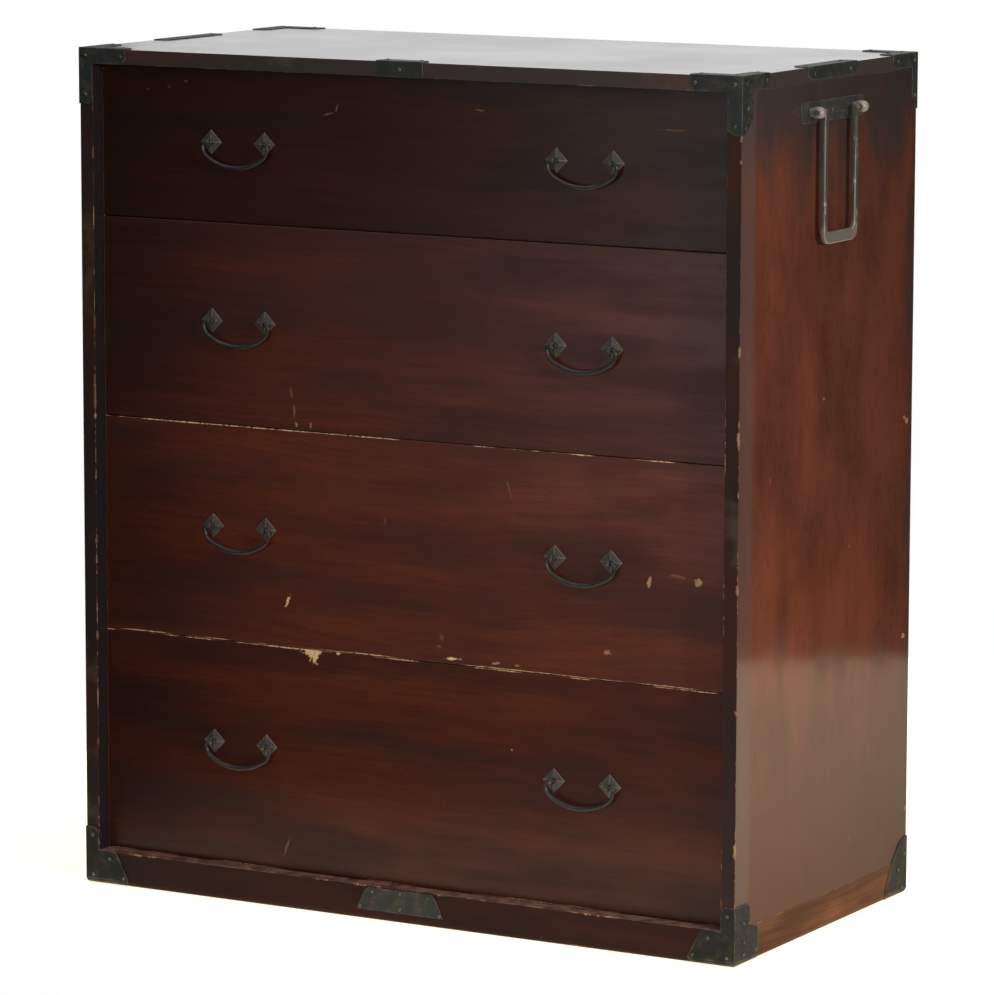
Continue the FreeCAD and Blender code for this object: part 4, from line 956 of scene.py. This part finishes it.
def pole_iron(name, tone, bright):
    """Iron of the long bails, handled bright along the crossbar and in a few spots."""
    skin = Finish(name)
    x, y, z = skin.parts(skin.spot)
    cloudy = skin.cloud((45, 45, 45), 5.0, 0.7)
    fine = skin.cloud((420, 420, 420), 4.0, 0.65, at=(3, 1, 4))
    paint = skin.blend(skin.fade(fine, 0.3, 0.7), [0.5 * part for part in tone],
                       [1.3 * part for part in tone])
    paint = skin.blend(skin.fade(cloudy, 0.42, 0.66, 0.0, 0.8), paint, OLIVE_RUST)
    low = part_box("right_pole_bail")[0].z
    held = skin.fade(skin.calc("MULTIPLY_ADD", cloudy, 0.02, z), low + 20 * MM, low + 40 * MM,
                     0.8, 0.0)
    held = skin.calc("MULTIPLY", held, skin.fade(fine, 0.25, 0.6, 0.45, 1.0))
    paint = skin.blend(held, paint, [0.62 * part for part in bright])
    spots = skin.fade(skin.cloud((130, 130, 60), 2.0, 0.6, at=(5, 5, 1)), 0.62, 0.70, 0.0, 0.65)
    paint = skin.blend(spots, paint, bright)
    normal = skin.relief(skin.cloud((170, 170, 90), 2.0, 0.5, at=(1, 7, 2)), 0.7 * MM, 0.9)
    normal = skin.relief(fine, 0.15 * MM, 0.7, normal)
    return skin.surface(Base_Color=paint, Roughness=skin.fade(fine, 0.3, 0.7, 0.34, 0.58),
                        Normal=normal, Metallic=0.5)


def carry_posts(material):
    """Four knobs with a square shank through the board and a cross bore for the bail."""
    level = Vector(frame_joint("right_pole_bail_swing")["pos_m"])
    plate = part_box("pole_handle_plates")[1].x
    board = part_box("right_side_board")
    form = bmesh.new()
    for sign in (-1, 1):
        for row in (-0.5, 0.5):
            middle = Vector((sign * plate, row * POST_SPACING, level.z))
            knob = bored_knob(middle, sign, sign * level.x)
            form.from_mesh(knob)
            bpy.data.meshes.remove(knob)
            depth = plate - board[0].x
            shank = Matrix.Translation(middle - Vector((sign * depth / 2, 0, 0)))
            bmesh.ops.create_cube(form, size=1.0, matrix=shank @ Matrix.Diagonal(
                (depth, SHANK_SIDE, SHANK_SIDE, 1.0)))
    piece(form, "pole_posts_forged", material, "case", "pole_handle_posts")


def bored_knob(middle, sign, pivot):
    """One knob, spun round its axis, with its cross bore cut at the bail's pivot."""
    form = bmesh.new()
    verts = [form.verts.new((sign * out * MM, 0.0, radius * MM)) for out, radius in KNOB_PROFILE]
    edges = [form.edges.new(pair) for pair in zip(verts, verts[1:])]
    bmesh.ops.spin(form, geom=verts + edges, cent=(0, 0, 0), axis=(1, 0, 0), angle=math.tau,
                   steps=28, use_merge=True)
    bmesh.ops.remove_doubles(form, verts=form.verts, dist=MERGE_DISTANCE)
    bmesh.ops.recalc_face_normals(form, faces=form.faces)
    smooth_faces(form)
    bmesh.ops.translate(form, verts=form.verts, vec=middle)
    bore = bmesh.new()
    bmesh.ops.create_cone(bore, cap_ends=True, segments=24, radius1=PIN_BORE, radius2=PIN_BORE,
                          depth=40 * MM, matrix=Matrix.Translation((pivot, middle.y, middle.z))
                          @ Matrix.Rotation(math.pi / 2, 4, "X"))
    made = [placed(name, mesh_of(shape, name))
            for name, shape in (("knob_blank", form), ("knob_bore", bore))]
    cut = made[0].modifiers.new("Bore", "BOOLEAN")
    cut.operation, cut.solver, cut.object = "DIFFERENCE", "EXACT", made[1]
    graph = bpy.context.evaluated_depsgraph_get()
    mesh = bpy.data.meshes.new_from_object(made[0].evaluated_get(graph))
    for shape in made:
        old = shape.data
        bpy.data.objects.remove(shape)
        bpy.data.meshes.remove(old)
    return mesh


# Studio

SOFTBOXES = (  # setting that holds the power, size, place, aim and tint
    ("overhead", (4.6, 4.6), (0, 0, 3.4), (0, 0, 0), WHITE),
    ("back", (5.0, 2.5), (-1.3, 5.3, 1.9), (-0.2, 0.2, 1.0), (0.965, 1.0, 1.015)),
    ("side", (0.3, 0.4), (2.75, -0.95, 1.3), (0.45, 0, 0.6), WHITE),
    ("front", (1.2, 1.2), (0.9, -3.2, 1.5), (0.1, -0.2, 0.5), WHITE),
    ("haze", (0.9, 1.2), (-0.75, -2.9, 0.6), (0.45, -0.2, 0.9), (0.88, 1.0, 1.08)),
)
FLOOR_MIDDLE = (0.45, 0.50, -0.3 * MM)
FLOOR_DARK, FLOOR_PALE = (0.86, 0.77, 0.60), (0.89, 0.80, 0.63)
FLOOR_GLOW = (1.0, 0.87, 0.68, 1.0)  # lifts the floor to the photograph's white
CAMERA_PLACE = (3.2286, -5.664, 1.4868)
CAMERA_TURNS = (29.672, 8.726, 0.1375)  # degrees of heading, tilt and roll
SENSOR_WIDTH = 36.0
VIEW_DEPTH = 60.0


def softbox(name, size, at, aim, power, tint):
    """A rectangular light that the camera doesn't see."""
    lamp = bpy.data.lights.new(name, "AREA")
    lamp.shape = "RECTANGLE"
    lamp.size, lamp.size_y = size
    lamp.energy = power
    lamp.color = tint
    made = placed(name, lamp)
    made.location = at
    made.rotation_euler = (Vector(aim) - Vector(at)).to_track_quat("-Z", "Y").to_euler()
    made.visible_camera = False


class CHEST_OT_stage(bpy.types.Operator):
    """Set up the pale floor, the soft lights and the camera"""
    bl_idname = "chest.stage"
    bl_label = "Studio"

    def execute(self, context):
        studio = context.scene.chest_studio
        make_floor(studio.floor_radius)
        make_room(studio.room)
        for name, size, at, aim, tint in SOFTBOXES:
            softbox(f"{name}_softbox", size, at, aim, getattr(studio, name), tint)
        make_camera(studio.focal_length)
        context.scene.view_settings.view_transform = "Standard"
        return {"FINISHED"}


def make_floor(radius):
    """A pale, softly glowing disc that the object's export leaves out."""
    form = bmesh.new()
    bmesh.ops.create_circle(form, cap_ends=True, segments=96, radius=radius)
    bmesh.ops.translate(form, verts=form.verts, vec=FLOOR_MIDDLE)
    skin = Finish("pale_floor")
    paint = skin.blend(skin.fade(skin.cloud((3, 3, 3), 3.0), 0.3, 0.7), FLOOR_DARK, FLOOR_PALE)
    material = skin.surface(Base_Color=paint, Roughness=0.9, Specular_IOR_Level=0.2,
                            Emission_Color=FLOOR_GLOW, Emission_Strength=0.85)
    placed("floor", mesh_of(form, "floor", material))


def make_room(brightness):
    """A white backdrop for the camera, and a dim even room for everything else."""
    world = bpy.context.scene.world or bpy.data.worlds.new("Studio")
    bpy.context.scene.world = world
    world.use_nodes = True
    nodes, links = world.node_tree.nodes, world.node_tree.links
    nodes.clear()
    path = nodes.new("ShaderNodeLightPath")
    dim, white = nodes.new("ShaderNodeBackground"), nodes.new("ShaderNodeBackground")
    for node, strength in ((dim, brightness), (white, 1.0)):
        node.inputs["Color"].default_value = (1, 1, 1, 1)
        node.inputs["Strength"].default_value = strength
    mix, out = nodes.new("ShaderNodeMixShader"), nodes.new("ShaderNodeOutputWorld")
    links.new(path.outputs["Is Camera Ray"], mix.inputs[0])
    links.new(dim.outputs[0], mix.inputs[1])
    links.new(white.outputs[0], mix.inputs[2])
    links.new(mix.outputs[0], out.inputs[0])


def make_camera(focal_length):
    """The photograph's view: its place, heading, tilt and roll."""
    yaw, pitch, roll = (math.radians(turn) for turn in CAMERA_TURNS)
    forward = Vector((-math.sin(yaw) * math.cos(pitch), math.cos(yaw) * math.cos(pitch),
                      -math.sin(pitch)))
    right = Vector((math.cos(yaw), math.sin(yaw), 0))
    up = right.cross(forward)
    across = right * math.cos(roll) + up * math.sin(roll)
    rise = across.cross(forward)
    lens = bpy.data.cameras.new("camera")
    lens.lens = focal_length
    lens.sensor_width = SENSOR_WIDTH
    lens.clip_end = VIEW_DEPTH
    made = placed("camera", lens)
    turned = Matrix((across, rise, -forward)).transposed().to_4x4()
    made.matrix_world = Matrix.Translation(CAMERA_PLACE) @ turned
    bpy.context.scene.camera = made


class CHEST_PT_panel(bpy.types.Panel):
    """Lists the chest's pieces in the order in which they are made"""
    bl_idname = "CHEST_PT_panel"
    bl_label = "Isho Chest"
    bl_space_type = "VIEW_3D"
    bl_region_type = "UI"
    bl_category = "Isho Chest"

    def draw(self, context):
        for operator in OPERATORS:
            self.layout.operator(operator.bl_idname)
        for title, group in SETTINGS.items():
            self.layout.label(text=title)
            settings = getattr(context.scene, group)
            for name in settings.__annotations__:
                self.layout.prop(settings, name)


OPERATORS = (CHEST_OT_stage, CHEST_OT_case, CHEST_OT_inside, CHEST_OT_drawer_fronts,
             CHEST_OT_drawer_boxes, CHEST_OT_drawer_handles, CHEST_OT_irons, CHEST_OT_nails,
             CHEST_OT_pole_handles)
SETTINGS = {"Wood": "chest_lacquer", "Iron": "chest_iron", "Wear": "chest_wear",
            "Studio": "chest_studio"}
GROUPS = (ChestLacquer, ChestIron, ChestWear, ChestStudio)


def register():
    for kind in GROUPS + OPERATORS + (CHEST_PT_panel,):
        bpy.utils.register_class(kind)
    for name, kind in zip(SETTINGS.values(), GROUPS):
        setattr(bpy.types.Scene, name, PointerProperty(type=kind))


def unregister():
    for name in SETTINGS.values():
        delattr(bpy.types.Scene, name)
    for kind in reversed(GROUPS + OPERATORS + (CHEST_PT_panel,)):
        bpy.utils.unregister_class(kind)


def main():
    register()
    bpy.ops.chest.stage()
    bpy.ops.chest.case()
    bpy.ops.chest.inside()
    bpy.ops.chest.drawer_fronts()
    bpy.ops.chest.drawer_boxes()
    bpy.ops.chest.drawer_handles()
    bpy.ops.chest.irons()
    bpy.ops.chest.nails()
    bpy.ops.chest.pole_handles()


if __name__ == "__main__":
    main()
